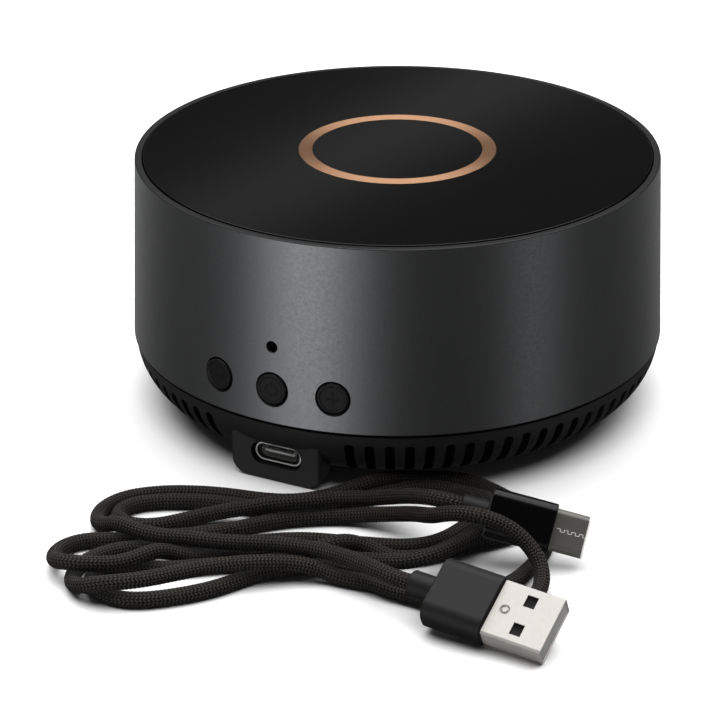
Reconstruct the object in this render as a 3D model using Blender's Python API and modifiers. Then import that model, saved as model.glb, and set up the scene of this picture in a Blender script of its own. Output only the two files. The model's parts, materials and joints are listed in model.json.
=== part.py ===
"""Portable round speaker with a top disc, a slotted base, three side buttons and its charging cable.

Metres, +Z up.  The origin is the centre of the foot pad's underside, on the surface that the
speaker stands on.  The buttons and the charging port face -Y.
"""
from math import cos, pi, radians, sin, sqrt

import bmesh
import bpy
import numpy as np
from mathutils import Euler, Matrix, Vector

MM = 0.001
GAP = 0.3                       # clearance kept between neighbouring pieces, mm

# ---- driving dimensions, in millimetres ----
HEIGHT = 54.4                   # floor to the top of the sleeve's rim
SLEEVE_TOP_R = 56.5
SLEEVE_BOTTOM_R = 58.2
SEAM_Z = 14.5                   # where the sleeve meets the base
RIM_WIDTH = 1.5
SLEEVE_WALL = 1.3

DISC_R = 54.7
DISC_TOP = 54.6
DISC_THICK = 1.7
RING_INNER_R = 18.3
RING_OUTER_R = 21.3
RING_PROUD = 0.05

FOOT_R = 41.0
FOOT_THICK = 2.4
BASE_BOTTOM = 2.7
BASE_BOTTOM_R = 47.8
BASE_BULGE = 10.05
BASE_CURVE_HEIGHT = 11.8
BASE_WALL = 2.0
SLOT_COUNT = 87                 # positions round the base; those behind the port block are left out
SLOTS_LEFT_OUT = 3              # positions left out on each side of the port
SLOT_WIDTH = 2.0
SLOT_TOP = 11.8
SLOT_LOW = 3.5                  # a thin rim stays whole below the slots
SLOT_INNER_R = 44.5

PORT_FACE_Y = -56.2
PORT_BLOCK_BACK_Y = -52.2
USB_BOARD_FRONT_Y = -49.2
PORT_BLOCK_X = (-10.6, 9.9)
PORT_BLOCK_Z = (0.2, 10.4)
PORT_BLOCK_CORNER = 3.4
PORT_Z = 5.95
PORT_SHELL = (8.94, 3.26)
PORT_LIP = (10.8, 4.2)         # flared mouth of the port's metal shell
PORT_LIP_WALL = 0.35
PORT_LIP_DEPTH = 1.0
PORT_RECESS = 1.0               # how far the mouth sits behind the block's face

BUTTON_Z = 22.1
BUTTON_ANGLES = {"minus": -12.8, "power": 0.3, "plus": 13.4}
BUTTON_HOLE_R = 3.55
BUTTON_R = 3.3
BUTTON_PROUD = 0.35
MIC_Z = 31.3
MIC_ANGLE = 0.3
MIC_HOLE_R = 1.15

HOUSING_R = (46.0, 48.0)
HOUSING_Z = (16.8, 49.6)
COLUMN_ANGLES = (60.0, 180.0, 300.0)
COLUMN_CIRCLE_R = 50.0
BASE_SCREW_CIRCLE_R = 36.0
BAFFLE_Z = (14.5, 16.5)
FRAME_Z = (49.9, 51.9)
BOARD_Z = (39.9, 41.1)

CABLE_DIAMETER = 3.2
TUBE_DIAMETER = 2.4             # the plain tube stays inside the cable, so that crossings stay clear
CABLE_STEP = 2.0

# ---- where each plug lies: centre of the face that the metal shell leaves, and its turn ----
PLUG_A = {"at": (65.6, -92.1, 5.75), "turn": (30.0, 4.0, -2.0), "collar_back": -17.4}
PLUG_C = {"at": (64.0, -61.6, 7.4), "turn": (54.0, 12.0, 17.0), "collar_back": -18.2}

# The cable's route in mm, from the large plug to the small one.  It is folded into six long loops
# that lie in front of the speaker, and the heights say which strand passes over which.
CABLE_ROUTE = [
    # from the large plug to the left, on top of the bundle
    (41.5, -90.6, 7.2), (35.5, -88.4, 6.6), (28.5, -86.4, 5.8), (20, -86.5, 5.2),
    (12.5, -89, 5.2), (4.5, -92, 5), (-3.5, -94, 4.6), (-12, -94, 3),
    # round the left end and back towards the base
    (-19, -92, 1.7), (-23.5, -88, 1.6), (-23.5, -82, 1.6),
    (-18, -76, 1.6), (-10.5, -71, 1.6), (-1.5, -68, 1.6), (7, -66.5, 1.6),
    (13.5, -62, 1.6), (18, -58, 1.8),
    # the outermost bend at the right, beside the base
    (22, -53.5, 2.4), (25, -48, 2), (30, -43, 1.6), (36, -41, 1.6),
    (41.5, -42, 1.6), (47.5, -44.8, 1.6), (54, -48.5, 1.6), (60, -54.5, 1.6),
    # under both plugs and back to the left along the front
    (62, -61.5, 1.6), (62, -69, 1.6), (61, -75.5, 1.6), (57, -81, 1.6),
    (51, -84, 1.6), (42.5, -84, 1.6),
    (31, -83, 1.6), (22.5, -87, 1.6), (18, -91.5, 1.6), (15.5, -94.5, 1.6),
    (13.5, -99, 1.6), (9, -105, 1.6), (3, -110.5, 1.6), (-2.5, -113.5, 1.6),
    # a tight left end, then to the right at the bottom of the bundle
    (-8.5, -112.8, 1.6), (-11.8, -109, 1.6), (-11, -104.6, 1.6),
    (-5, -101.2, 1.6), (6.5, -94, 1.6), (18, -86.5, 1.6), (28, -81, 1.6), (37, -77, 1.6),
    # a turn hidden beneath the small plug
    (42.5, -72.5, 1.6), (46, -67.5, 1.6), (49.5, -62.8, 1.6), (53, -58.8, 1.6),
    (55.3, -54.6, 1.6), (54.3, -50.2, 1.6), (50.3, -48.3, 1.6), (46.2, -50.6, 1.6),
    (44.4, -57, 1.6), (42.8, -64.5, 1.6), (40.5, -68.5, 1.6), (35.5, -72, 1.6),
    (27, -75, 1.6), (19.5, -77, 1.6), (12.5, -81, 1.6), (5.5, -86.5, 1.6),
    # the left end again, in front
    (-7, -94, 1.6), (-12, -96.5, 1.6), (-14.5, -101, 1.6), (-16, -106.5, 1.6),
    (-14, -111.5, 1.6), (-9, -114, 2.6),
    # over the left end's strands, then the front strand, under the large plug
    (-3, -113.5, 4.6), (2, -108, 4.6), (9, -100.5, 4.8), (15, -96.5, 4.8),
    (20.5, -91.5, 3.8), (25.5, -87.5, 2.2), (30.5, -86, 1.6), (37, -86, 1.6),
    (43, -87, 1.6), (50.5, -87.5, 1.6), (57.5, -87, 1.6), (63.5, -84.5, 1.6),
    (67, -79.5, 1.6), (67.2, -74.5, 2.2),
    # up and over the small plug's collar, and down to the left
    (65.5, -70.7, 4.6), (62, -69.4, 7.6), (58.5, -69.8, 10.4), (55, -71.3, 12.2),
    (50, -72.3, 12.6), (41.5, -69, 9.4), (33, -65.5, 5), (24, -65, 2.6),
    (17.5, -67, 1.8), (11.5, -71, 1.6),
    (6.5, -76.5, 1.6), (2, -82, 1.6), (-5, -87.5, 1.6), (-12.5, -92.5, 1.6), (-19, -96, 1.6),
    # the leftmost end, rising over the strands beside it
    (-22.5, -100, 1.6), (-21.5, -106, 2.4), (-16, -111, 4.2), (-11, -109.5, 4.8),
    (-5.5, -105, 4.2), (-1.5, -98, 2.4), (4, -93, 1.6), (12, -87.5, 1.6),
    (22.5, -82.5, 1.6), (31.5, -79.5, 1.6),
    # up behind the large plug and round beneath the small plug's collar
    (39.5, -80, 3), (44.5, -77.5, 4.4), (47.5, -72, 4.8), (49.5, -66, 4.8), (50.5, -59.5, 4.6),
    (46.5, -53, 3.6), (40.5, -47.5, 2), (35, -46, 1.6), (30, -47, 1.6), (26, -49.5, 1.6),
    (21.5, -54, 1.6), (18, -59, 1.6), (14, -64, 1.6), (9, -68.5, 1.6),
    # the inner bend at the left, then up to the small plug
    (1, -70.5, 1.6), (-8, -72.6, 1.6), (-16.5, -76, 1.6), (-20.6, -80, 1.6),
    (-20.4, -85.5, 1.6), (-15.5, -88, 1.6),
    (-9.5, -84.3, 1.6), (-4.5, -78, 1.8), (2, -74.5, 3), (9.5, -72, 4.4),
    (17.5, -66.5, 4.6), (22, -63, 4.6), (27.3, -62.3, 5.7), (32.4, -63.4, 8), (38, -66.4, 10.4),
]


# ---- scene, collections and materials ----

for stale in list(bpy.data.objects):
    bpy.data.objects.remove(stale, do_unlink=True)

PARTS = bpy.data.collections.new("portable_speaker")
CUTTERS = bpy.data.collections.new("cutters")
bpy.context.scene.collection.children.link(PARTS)
bpy.context.scene.collection.children.link(CUTTERS)


def material(name, colour, roughness, metallic=0.0):
    """A plain Principled material."""
    made = bpy.data.materials.new(name)
    made.use_nodes = True
    shader = made.node_tree.nodes["Principled BSDF"]
    shader.inputs["Base Color"].default_value = (*colour, 1.0)
    shader.inputs["Roughness"].default_value = roughness
    shader.inputs["Metallic"].default_value = metallic
    return made


MAT = {
    "gunmetal": material("gunmetal", (0.10, 0.10, 0.10), 0.35, 1.0),
    "gloss_black": material("gloss_black", (0.01, 0.01, 0.01), 0.08),
    "copper": material("copper", (0.72, 0.42, 0.30), 0.25, 1.0),
    "black_plastic": material("black_plastic", (0.02, 0.02, 0.02), 0.5),
    "grey_plastic": material("grey_plastic", (0.06, 0.06, 0.06), 0.6),
    "rubber": material("rubber", (0.03, 0.03, 0.03), 0.9),
    "mesh_fabric": material("mesh_fabric", (0.01, 0.01, 0.01), 0.95),
    "steel": material("steel", (0.70, 0.70, 0.70), 0.25, 1.0),
    "dark_metal": material("dark_metal", (0.12, 0.12, 0.11), 0.4, 1.0),
    "board_green": material("board_green", (0.02, 0.12, 0.05), 0.5),
    "battery_blue": material("battery_blue", (0.10, 0.16, 0.35), 0.5),
    "paper_cone": material("paper_cone", (0.04, 0.04, 0.04), 0.9),
    "ferrite": material("ferrite", (0.05, 0.05, 0.05), 0.7),
    "braid": material("braid", (0.015, 0.015, 0.015), 0.85),
}


# ---- modelling helpers; all sizes in mm ----

def add_object(name, mesh, finish=None):
    """Link a mesh as a part, or as a cutter when it has no finish."""
    made = bpy.data.objects.new(name, mesh)
    if finish is None:
        CUTTERS.objects.link(made)
        made.hide_render = True
        made.display_type = 'WIRE'
    else:
        PARTS.objects.link(made)
        mesh.materials.append(MAT[finish])
    return made


def mesh_from(bm, name, smooth=True):
    """Turn a bmesh in mm into a mesh in metres."""
    bmesh.ops.scale(bm, vec=(MM, MM, MM), verts=bm.verts)
    mesh = bpy.data.meshes.new(name)
    bm.to_mesh(mesh)
    bm.free()
    if smooth:
        mesh.shade_smooth()
        mesh.set_sharp_from_angle(angle=radians(35))
    return mesh


def turned(name, profile, finish=None, steps=64, closed=True):
    """Turn (radius, height) points about Z.  The outer side runs from top to bottom."""
    bm = bmesh.new()
    points = [bm.verts.new((r, 0.0, z)) for r, z in profile]
    ends = points[1:] + (points[:1] if closed else [])
    for first, second in zip(points, ends):
        bm.edges.new((first, second))
    made = add_object(name, mesh_from(bm, name, smooth=False), finish)
    screw = made.modifiers.new("turn", 'SCREW')
    screw.axis = 'Z'
    screw.angle = 2 * pi
    screw.steps = steps
    screw.render_steps = steps
    screw.use_merge_vertices = True
    screw.merge_threshold = 0.00001
    screw.use_smooth_shade = True
    return made


def ring(name, inner, outer, low, high, finish=None, steps=64):
    """A plain turned ring."""
    profile = [(outer, high), (outer, low), (inner, low), (inner, high)]
    return turned(name, profile, finish, steps)


def bar(name, x_range, width, height, corner, finish=None, segments=4, offset=(0.0, 0.0)):
    """A bar along X with rounded long edges."""
    bm = bmesh.new()
    bmesh.ops.create_cube(bm, size=1.0)
    length = x_range[1] - x_range[0]
    bmesh.ops.scale(bm, vec=(length, width, height), verts=bm.verts)
    long_edges = [e for e in bm.edges if abs(e.verts[0].co.x - e.verts[1].co.x) > length / 2]
    if corner:
        bmesh.ops.bevel(bm, geom=long_edges, offset=corner, segments=segments,
                        profile=0.5, affect='EDGES')
    middle = (sum(x_range) / 2, offset[0], offset[1])
    bmesh.ops.translate(bm, vec=middle, verts=bm.verts)
    return add_object(name, mesh_from(bm, name), finish)


def block(name, low, high, finish=None, bevel=0.0):
    """A box between two corners, with small bevels on all edges."""
    bm = bmesh.new()
    bmesh.ops.create_cube(bm, size=1.0)
    size = [b - a for a, b in zip(low, high)]
    middle = [(a + b) / 2 for a, b in zip(low, high)]
    bmesh.ops.scale(bm, vec=size, verts=bm.verts)
    if bevel:
        bmesh.ops.bevel(bm, geom=bm.edges[:], offset=bevel, segments=1, affect='EDGES')
    bmesh.ops.translate(bm, vec=middle, verts=bm.verts)
    return add_object(name, mesh_from(bm, name), finish)


def cylinders(name, radius, low, high, centres, finish=None, sides=16):
    """Upright cylinders at the given places, in one mesh."""
    bm = bmesh.new()
    for x, y in centres:
        bmesh.ops.create_cone(bm, cap_ends=True, segments=sides, radius1=radius, radius2=radius,
                              depth=high - low, matrix=Matrix.Translation((x, y, (low + high) / 2)))
    return add_object(name, mesh_from(bm, name), finish)


def boolean(target, cutter, operation='DIFFERENCE'):
    """Cut or join with an exact boolean modifier."""
    change = target.modifiers.new(cutter.name, 'BOOLEAN')
    change.object = cutter
    change.operation = operation
    change.solver = 'EXACT'


def outward(angle):
    """Horizontal unit direction; angle 0 faces -Y and positive angles turn towards +X."""
    return Vector((sin(radians(angle)), -cos(radians(angle)), 0.0))


def on_circle(radius, angle):
    """Plan position in mm."""
    way = outward(angle)
    return (radius * way.x, radius * way.y)


def face_outward(made, angle, height, radius=0.0):
    """Stand an object that was made along Z on the sleeve, with its Z pointing outward."""
    way = outward(angle)
    made.rotation_euler = way.to_track_quat('Z', 'Y').to_euler()
    made.location = Vector((way.x * radius, way.y * radius, height)) * MM


def sleeve_radius(z):
    """The sleeve's outer radius at a height."""
    part_way = (z - SEAM_Z) / (HEIGHT - SEAM_Z)
    return SLEEVE_BOTTOM_R + (SLEEVE_TOP_R - SLEEVE_BOTTOM_R) * part_way


def base_radius(z):
    """The base's outer radius at a height: a quarter of an ellipse."""
    drop = (SEAM_Z - z) / BASE_CURVE_HEIGHT
    return BASE_BOTTOM_R + BASE_BULGE * sqrt(max(0.0, 1.0 - drop * drop))


# ---- sleeve and top ----

def make_sleeve():
    edge = 0.4
    top_inner = SLEEVE_TOP_R - RIM_WIDTH
    profile = [
        (SLEEVE_TOP_R - edge, HEIGHT), (SLEEVE_TOP_R - edge * 0.3, HEIGHT - edge * 0.3),
        (sleeve_radius(HEIGHT - edge), HEIGHT - edge),
        (sleeve_radius(34.0), 34.0), (SLEEVE_BOTTOM_R, SEAM_Z),
        (SLEEVE_BOTTOM_R - SLEEVE_WALL, SEAM_Z), (top_inner, HEIGHT - 3.0), (top_inner, HEIGHT),
    ]
    sleeve = turned("sleeve", profile, "gunmetal", steps=96)
    for name, angle in BUTTON_ANGLES.items():
        cutter = cylinders("hole_" + name, BUTTON_HOLE_R, 50.0, 60.0, [(0.0, 0.0)], sides=32)
        face_outward(cutter, angle, BUTTON_Z)
        boolean(sleeve, cutter)
    cutter = cylinders("hole_mic", MIC_HOLE_R, 50.0, 60.0, [(0.0, 0.0)], sides=16)
    face_outward(cutter, MIC_ANGLE, MIC_Z)
    boolean(sleeve, cutter)


def make_top():
    low = DISC_TOP - DISC_THICK
    edge = 0.25
    groove = 1.0
    inner = RING_INNER_R - GAP
    outer = RING_OUTER_R + GAP
    profile = [
        (0.0, DISC_TOP), (inner, DISC_TOP), (inner, DISC_TOP - groove), (outer, DISC_TOP - groove),
        (outer, DISC_TOP), (DISC_R - edge, DISC_TOP), (DISC_R, DISC_TOP - edge),
        (DISC_R, low), (0.0, low),
    ]
    turned("top_disc", profile, "gloss_black", steps=60, closed=False)
    ring("copper_ring", RING_INNER_R, RING_OUTER_R, DISC_TOP - groove + GAP,
         DISC_TOP + RING_PROUD, "copper", steps=48)
    ring("disc_gasket", 44.0, 53.0, FRAME_Z[1] + GAP, low - GAP, "rubber", steps=36)
    frame = turned("top_frame", [(0.0, FRAME_Z[1]), (54.4, FRAME_Z[1]), (54.4, FRAME_Z[0]),
                                 (0.0, FRAME_Z[0])], "black_plastic", steps=40, closed=False)
    spots = [on_circle(COLUMN_CIRCLE_R, angle) for angle in COLUMN_ANGLES]
    boolean(frame, cylinders("frame_holes", 1.2, FRAME_Z[0] - 1, FRAME_Z[1] + 1, spots))
    boolean(frame, cylinders("frame_sinks", 2.4, FRAME_Z[0] + 0.9, FRAME_Z[1] + 1, spots))


# ---- base, vent and foot ----

def slot_cutters():
    """One upright slot with a rounded top for each position round the base."""
    bm = bmesh.new()
    bmesh.ops.create_cube(bm, size=1.0)
    depth = 60.0 - SLOT_INNER_R
    low = SLOT_LOW
    bmesh.ops.scale(bm, vec=(SLOT_WIDTH, depth, SLOT_TOP - low), verts=bm.verts)
    top_edges = [e for e in bm.edges
                 if min(v.co.z for v in e.verts) > 0 and abs(e.verts[0].co.y - e.verts[1].co.y) > 1]
    bmesh.ops.bevel(bm, geom=top_edges, offset=0.6, segments=1, affect='EDGES')
    bmesh.ops.translate(bm, vec=(0.0, -(SLOT_INNER_R + depth / 2), (SLOT_TOP + low) / 2),
                        verts=bm.verts)
    first = bm.verts[:] + bm.edges[:] + bm.faces[:]
    for place in range(SLOTS_LEFT_OUT + 1, SLOT_COUNT - SLOTS_LEFT_OUT):
        copied = bmesh.ops.duplicate(bm, geom=first)
        verts = [item for item in copied["geom"] if isinstance(item, bmesh.types.BMVert)]
        turn = Matrix.Rotation(2 * pi * place / SLOT_COUNT, 3, 'Z')
        bmesh.ops.rotate(bm, cent=(0, 0, 0), matrix=turn, verts=verts)
    bmesh.ops.delete(bm, geom=[item for item in first if isinstance(item, bmesh.types.BMVert)],
                     context='VERTS')
    return add_object("slots", mesh_from(bm, "slots", smooth=False))


def port_outline(name, y_range, x_range, z_range, corner, finish=None):
    """A block with rounded corners as seen from the front."""
    made = bar(name, y_range, x_range[1] - x_range[0], z_range[1] - z_range[0], corner, finish,
               segments=5, offset=(-sum(x_range) / 2, sum(z_range) / 2))
    made.rotation_euler = (0.0, 0.0, pi / 2)
    return made


def stadium(name, y_range, width, height, finish=None):
    """A round-ended bar along Y, centred on the port's axis."""
    return port_outline(name, y_range, (-width / 2, width / 2),
                        (PORT_Z - height / 2, PORT_Z + height / 2), height / 2 - 0.03, finish)


def make_base():
    outer_curve = [(base_radius(z), z) for z in (14.2, 11.9, 8.0, 5.2, 3.6, BASE_BOTTOM)]
    inner_curve = [(base_radius(z) - BASE_WALL, z) for z in (4.7, 8.0)]
    profile = [(0.0, 4.7)] + inner_curve + [
        (53.8, 12.4), (53.8, 14.2), (55.8, 14.2), (55.8, 16.0), (56.5, 16.0), (56.5, 14.2),
    ] + outer_curve + [(0.0, BASE_BOTTOM)]
    base = turned("base_shell", profile, "black_plastic", steps=SLOT_COUNT, closed=False)
    boolean(base, slot_cutters())
    boolean(base, port_outline("port_block", (PORT_FACE_Y, PORT_BLOCK_BACK_Y), PORT_BLOCK_X,
                               PORT_BLOCK_Z, PORT_BLOCK_CORNER), 'UNION')
    recess_end = PORT_FACE_Y + PORT_RECESS + PORT_LIP_DEPTH + GAP
    boolean(base, stadium("port_recess", (-60.0, recess_end), *[side + 1.0 for side in PORT_LIP]))
    boolean(base, stadium("port_hole", (-60.0, -45.0), *[side + 0.7 for side in PORT_SHELL]))
    spots = [on_circle(BASE_SCREW_CIRCLE_R, angle) for angle in COLUMN_ANGLES]
    boolean(base, cylinders("base_bosses", 3.4, 3.7, 14.2, spots), 'UNION')
    boolean(base, cylinders("base_boss_holes", 1.4, 1.0, 15.0, spots))
    boolean(base, cylinders("base_boss_sinks", 2.7, 1.0, 4.8, spots))
    turned("foot_pad", [(0.0, FOOT_THICK), (FOOT_R - 0.5, FOOT_THICK), (FOOT_R, FOOT_THICK - 0.5),
                        (FOOT_R, 0.5), (FOOT_R - 0.5, 0.0), (0.0, 0.0)],
           "rubber", steps=48, closed=False)
    vent = ring("vent_mesh", 49.0, 49.5, 5.0, 12.6, "mesh_fabric", steps=48)
    boolean(vent, block("vent_notch", (-11.5, -60.0, 4.0), (11.5, -40.0, 14.0)))
    turned("sound_diffuser", [(0.0, 11.4), (2.0, 10.8), (5.0, 8.6), (10.0, 6.4), (18.0, 5.4),
                              (18.0, 5.0), (0.0, 5.0)], "black_plastic", steps=36, closed=False)


def make_port():
    front = PORT_FACE_Y + PORT_RECESS
    back = front + 7.35
    shell = stadium("usb_c_shell", (front, back), *PORT_SHELL, "steel")
    boolean(shell, stadium("lip", (front, front + PORT_LIP_DEPTH), *PORT_LIP), 'UNION')
    boolean(shell, stadium("lip_hollow", (front - 1.0, front + PORT_LIP_DEPTH - 0.4),
                           *[side - 2 * PORT_LIP_WALL for side in PORT_LIP]))
    boolean(shell, stadium("usb_c_hollow", (front - 1.0, back - 0.4),
                           *[side - 0.6 for side in PORT_SHELL]))
    block("usb_c_tongue", (-3.5, front + 1.0, PORT_Z - 0.45), (3.5, back - 0.7, PORT_Z + 0.45),
          "grey_plastic")
    top = PORT_Z + PORT_SHELL[1] / 2 + GAP
    block("usb_board", (-8.0, USB_BOARD_FRONT_Y, top), (8.0, -38.0, top + 1.0), "board_green")


# ---- inner housing, boards and battery ----

def make_housing():
    inner, outer = HOUSING_R
    low, high = HOUSING_Z
    ledge = (38.3, 39.6)
    profile = [(outer, high), (outer, low), (inner, low), (inner, ledge[0]),
               (inner - 3.0, ledge[0]), (inner - 3.0, ledge[1]), (inner, ledge[1]), (inner, high)]
    housing = turned("inner_housing", profile, "grey_plastic", steps=40)
    spots = [on_circle(COLUMN_CIRCLE_R, angle) for angle in COLUMN_ANGLES]
    boolean(housing, cylinders("housing_columns", 2.6, low, high, spots), 'UNION')
    boolean(housing, cylinders("housing_low_holes", 1.3, low - 1.0, low + 8.0, spots, sides=12))
    boolean(housing, cylinders("housing_high_holes", 1.3, high - 7.0, high + 1.0, spots, sides=12))
    board_spots = [on_circle(44.2, angle) for angle in COLUMN_ANGLES]
    boolean(housing, cylinders("ledge_holes", 1.0, 35.0, 42.0, board_spots, sides=12))

    baffle = ring("baffle_plate", 25.0, 55.0, *BAFFLE_Z, "grey_plastic", steps=40)
    boolean(baffle, cylinders("baffle_holes", 1.2, 13.0, 18.0, spots, sides=12))
    base_spots = [on_circle(BASE_SCREW_CIRCLE_R, angle) for angle in COLUMN_ANGLES]
    boolean(baffle, cylinders("baffle_base_holes", 1.2, 13.0, 18.0, base_spots, sides=12))

    board = turned("main_board", [(0.0, BOARD_Z[1]), (45.6, BOARD_Z[1]), (45.6, BOARD_Z[0]),
                                  (0.0, BOARD_Z[0])], "board_green", steps=48, closed=False)
    boolean(board, cylinders("board_holes", 1.1, 38.0, 43.0, board_spots, sides=12))
    chip_low = BOARD_Z[1] + GAP
    block("bluetooth_module", (-38.0, -8.0, chip_low), (-27.0, 8.0, chip_low + 2.0), "steel")
    block("amplifier_chip", (27.0, -4.0, chip_low), (35.0, 4.0, chip_low + 1.2), "black_plastic")
    block("battery", (-25.0, -17.0, 43.8), (25.0, 17.0, 49.0), "battery_blue", bevel=1.2)
    block("battery_pad", (-20.0, -12.0, 49.2), (20.0, 12.0, 49.6), "rubber")


def make_screws():
    """Countersunk from below into the base and baffle, and from above into the top frame."""
    def screw(name, centre, head_z, tip_z, shank, head_r=2.2, head_thick=1.0):
        down = -1.0 if tip_z < head_z else 1.0
        rings = [(0.0, head_z), (head_r, head_z), (head_r, head_z + down * head_thick),
                 (shank, head_z + down * head_thick), (shank, tip_z), (0.0, tip_z)]
        if down > 0:
            rings.reverse()
        made = turned(name, rings, "dark_metal", steps=12, closed=False)
        made.location = (centre[0] * MM, centre[1] * MM, 0.0)

    for number, angle in enumerate(COLUMN_ANGLES, start=1):
        screw(f"base_screw_{number}", on_circle(BASE_SCREW_CIRCLE_R, angle), 3.3, 16.4, 0.9)
        screw(f"baffle_screw_{number}", on_circle(COLUMN_CIRCLE_R, angle), 13.0, 24.0, 0.9)
        screw(f"top_screw_{number}", on_circle(COLUMN_CIRCLE_R, angle), 51.9, 43.5, 0.9, head_r=2.1,
              head_thick=0.8)
        screw(f"board_screw_{number}", on_circle(44.2, angle), 42.3, 37.0, 0.7, head_r=1.5,
              head_thick=0.8)


# ---- loudspeaker, facing down ----

def make_driver():
    basket = turned("driver_basket", [
        (17.6, 28.5), (25.8, 18.6), (30.0, 18.6), (30.0, 17.6), (24.4, 17.6), (24.4, 18.4),
        (16.4, 27.6), (10.2, 27.6), (10.2, 28.5)], "dark_metal", steps=28)
    for number in range(4):
        window = cylinders(f"window_{number}", 3.0, 14.0, 30.0, [(0.0, 0.0)], sides=12)
        face_outward(window, 45.0 + 90.0 * number, 23.2)
        boolean(basket, window)
    ring("driver_gasket", 25.6, 29.8, 16.8, 17.3, "rubber", steps=28)
    turned("surround", [
        (25.1, 17.3), (25.1, 16.9), (23.9, 16.9), (22.9, 18.0), (21.9, 18.3), (20.9, 18.0),
        (20.2, 16.9), (19.7, 16.9), (19.7, 17.3), (20.0, 17.4), (20.6, 18.4), (21.9, 18.8),
        (23.2, 18.4), (24.0, 17.3)], "rubber", steps=24)
    turned("driver_cone", [(9.6, 21.9), (19.4, 17.6), (19.4, 17.1), (9.6, 21.4)],
           "paper_cone", steps=28)
    turned("dust_cap", [(0.0, 19.6), (5.0, 20.0), (8.2, 20.8), (9.1, 21.2), (9.1, 20.8),
                        (8.2, 20.4), (5.0, 19.6), (0.0, 19.2)],
           "paper_cone", steps=20, closed=False)
    ring("voice_coil", 8.6, 9.1, 21.7, 33.0, "copper", steps=24)
    turned("spider", [(20.2, 22.9), (20.2, 22.5), (17.5, 22.2), (15.5, 22.9), (13.5, 22.2),
                      (11.5, 22.9), (9.5, 22.5), (9.5, 22.9), (11.5, 23.3), (13.5, 22.6),
                      (15.5, 23.3), (17.5, 22.6)], "mesh_fabric", steps=20)
    ring("front_plate", 9.9, 16.0, 28.8, 30.8, "dark_metal", steps=28)
    ring("magnet", 11.5, 17.5, 31.1, 36.1, "ferrite", steps=28)
    turned("yoke", [(0.0, 38.4), (16.0, 38.4), (16.0, 36.4), (8.2, 36.4), (8.2, 28.8), (0.0, 28.8)],
           "dark_metal", steps=28, closed=False)


# ---- side buttons and microphone ----

def make_buttons():
    board_r = (49.4, 50.4)
    for name, angle in BUTTON_ANGLES.items():
        face = sleeve_radius(BUTTON_Z) + BUTTON_PROUD
        cap = turned("button_" + name, [
            (0.0, 0.0), (BUTTON_R - 0.2, 0.0), (BUTTON_R, -0.2), (BUTTON_R, -2.35), (4.3, -2.35),
            (4.3, -3.05), (1.2, -3.05), (1.2, 53.0 - face), (0.0, 53.0 - face)],
            "grey_plastic", steps=24, closed=False)
        face_outward(cap, angle, BUTTON_Z, face)
        switch = block("switch_" + name, (-2.1, -2.1, 0.0), (2.1, 2.1, 1.6), "black_plastic")
        face_outward(switch, angle, BUTTON_Z, board_r[1] + GAP)

    bm = bmesh.new()
    half_angle = 23.0
    columns = 16
    rows = [17.6, 35.0]
    grid = []
    for step in range(columns + 1):
        angle = -half_angle + 2 * half_angle * step / columns
        x, y = on_circle(board_r[0], angle)
        grid.append([bm.verts.new((x, y, z)) for z in rows])
    for first, second in zip(grid, grid[1:]):
        bm.faces.new((first[0], second[0], second[1], first[1]))
    board = add_object("button_board", mesh_from(bm, "button_board"), "board_green")
    thick = board.modifiers.new("thickness", 'SOLIDIFY')
    thick.thickness = (board_r[1] - board_r[0]) * MM
    thick.offset = 1.0

    capsule = cylinders("mic_capsule", 2.0, 0.0, 1.6, [(0.0, 0.0)], "steel", sides=20)
    face_outward(capsule, MIC_ANGLE, MIC_Z, board_r[1] + GAP)
    gasket = ring("mic_gasket", 1.0, 2.2, 0.0, 3.0, "rubber", steps=20)
    face_outward(gasket, MIC_ANGLE, MIC_Z, board_r[1] + GAP + 1.6 + GAP)


# ---- charging cable ----

def plug_matrix(plug):
    """Place of a plug: X points along its nose and Z out of its upper face."""
    turn = Euler([radians(a) for a in plug["turn"]], 'XYZ').to_matrix().to_4x4()
    return Matrix.Translation(Vector(plug["at"])) @ turn


def plug_empty(name, plug):
    """An empty that carries a plug's pieces."""
    holder = bpy.data.objects.new(name, None)
    PARTS.objects.link(holder)
    holder.location = Vector(plug["at"]) * MM
    holder.rotation_euler = [radians(a) for a in plug["turn"]]
    return holder


def collar(name, radius, x_range):
    """A round collar along X."""
    made = turned(name, [(0.0, x_range[1]), (radius, x_range[1]), (radius, x_range[0]),
                         (0.0, x_range[0])], "grey_plastic", steps=24, closed=False)
    made.rotation_euler = (0.0, pi / 2, 0.0)
    return made


def hollow_shell(name, x_range, width, height, corner, wall, finish):
    """A metal plug shell, open at its nose."""
    shell = bar(name, x_range, width, height, corner, finish)
    inside = bar(name + "_hollow", (x_range[0] + wall, x_range[1] + 1.0), width - 2 * wall,
                 height - 2 * wall, max(corner - wall, 0.1))
    boolean(shell, inside)
    return shell, inside


def make_plugs():
    holder = plug_empty("plug_a", PLUG_A)
    pieces = [bar("usb_a_housing", (-12.2, 0.0), 13.6, 7.2, 2.9, "grey_plastic"),
              bar("usb_a_tongue", (1.4, 11.2), 10.7, 1.8, 0.1, "black_plastic", segments=1,
                  offset=(0.0, -0.75)),
              collar("usb_a_collar", 2.6, (PLUG_A["collar_back"], -12.2 - GAP))]
    pieces += hollow_shell("usb_a_shell", (GAP, 12.0), 12.0, 4.5, 0.5, 0.3, "steel")
    for piece in pieces:
        piece.parent = holder

    holder = plug_empty("plug_c", PLUG_C)
    pieces = [bar("usb_c_plug_housing", (-12.8, 0.0), 9.9, 5.2, 2.2, "gloss_black"),
              collar("usb_c_plug_collar", 2.2, (PLUG_C["collar_back"], -12.8 - GAP))]
    pieces += hollow_shell("usb_c_plug_shell", (GAP, 6.65), 8.34, 2.56, 1.27, 0.35, "dark_metal")
    for piece in pieces:
        piece.parent = holder


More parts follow.
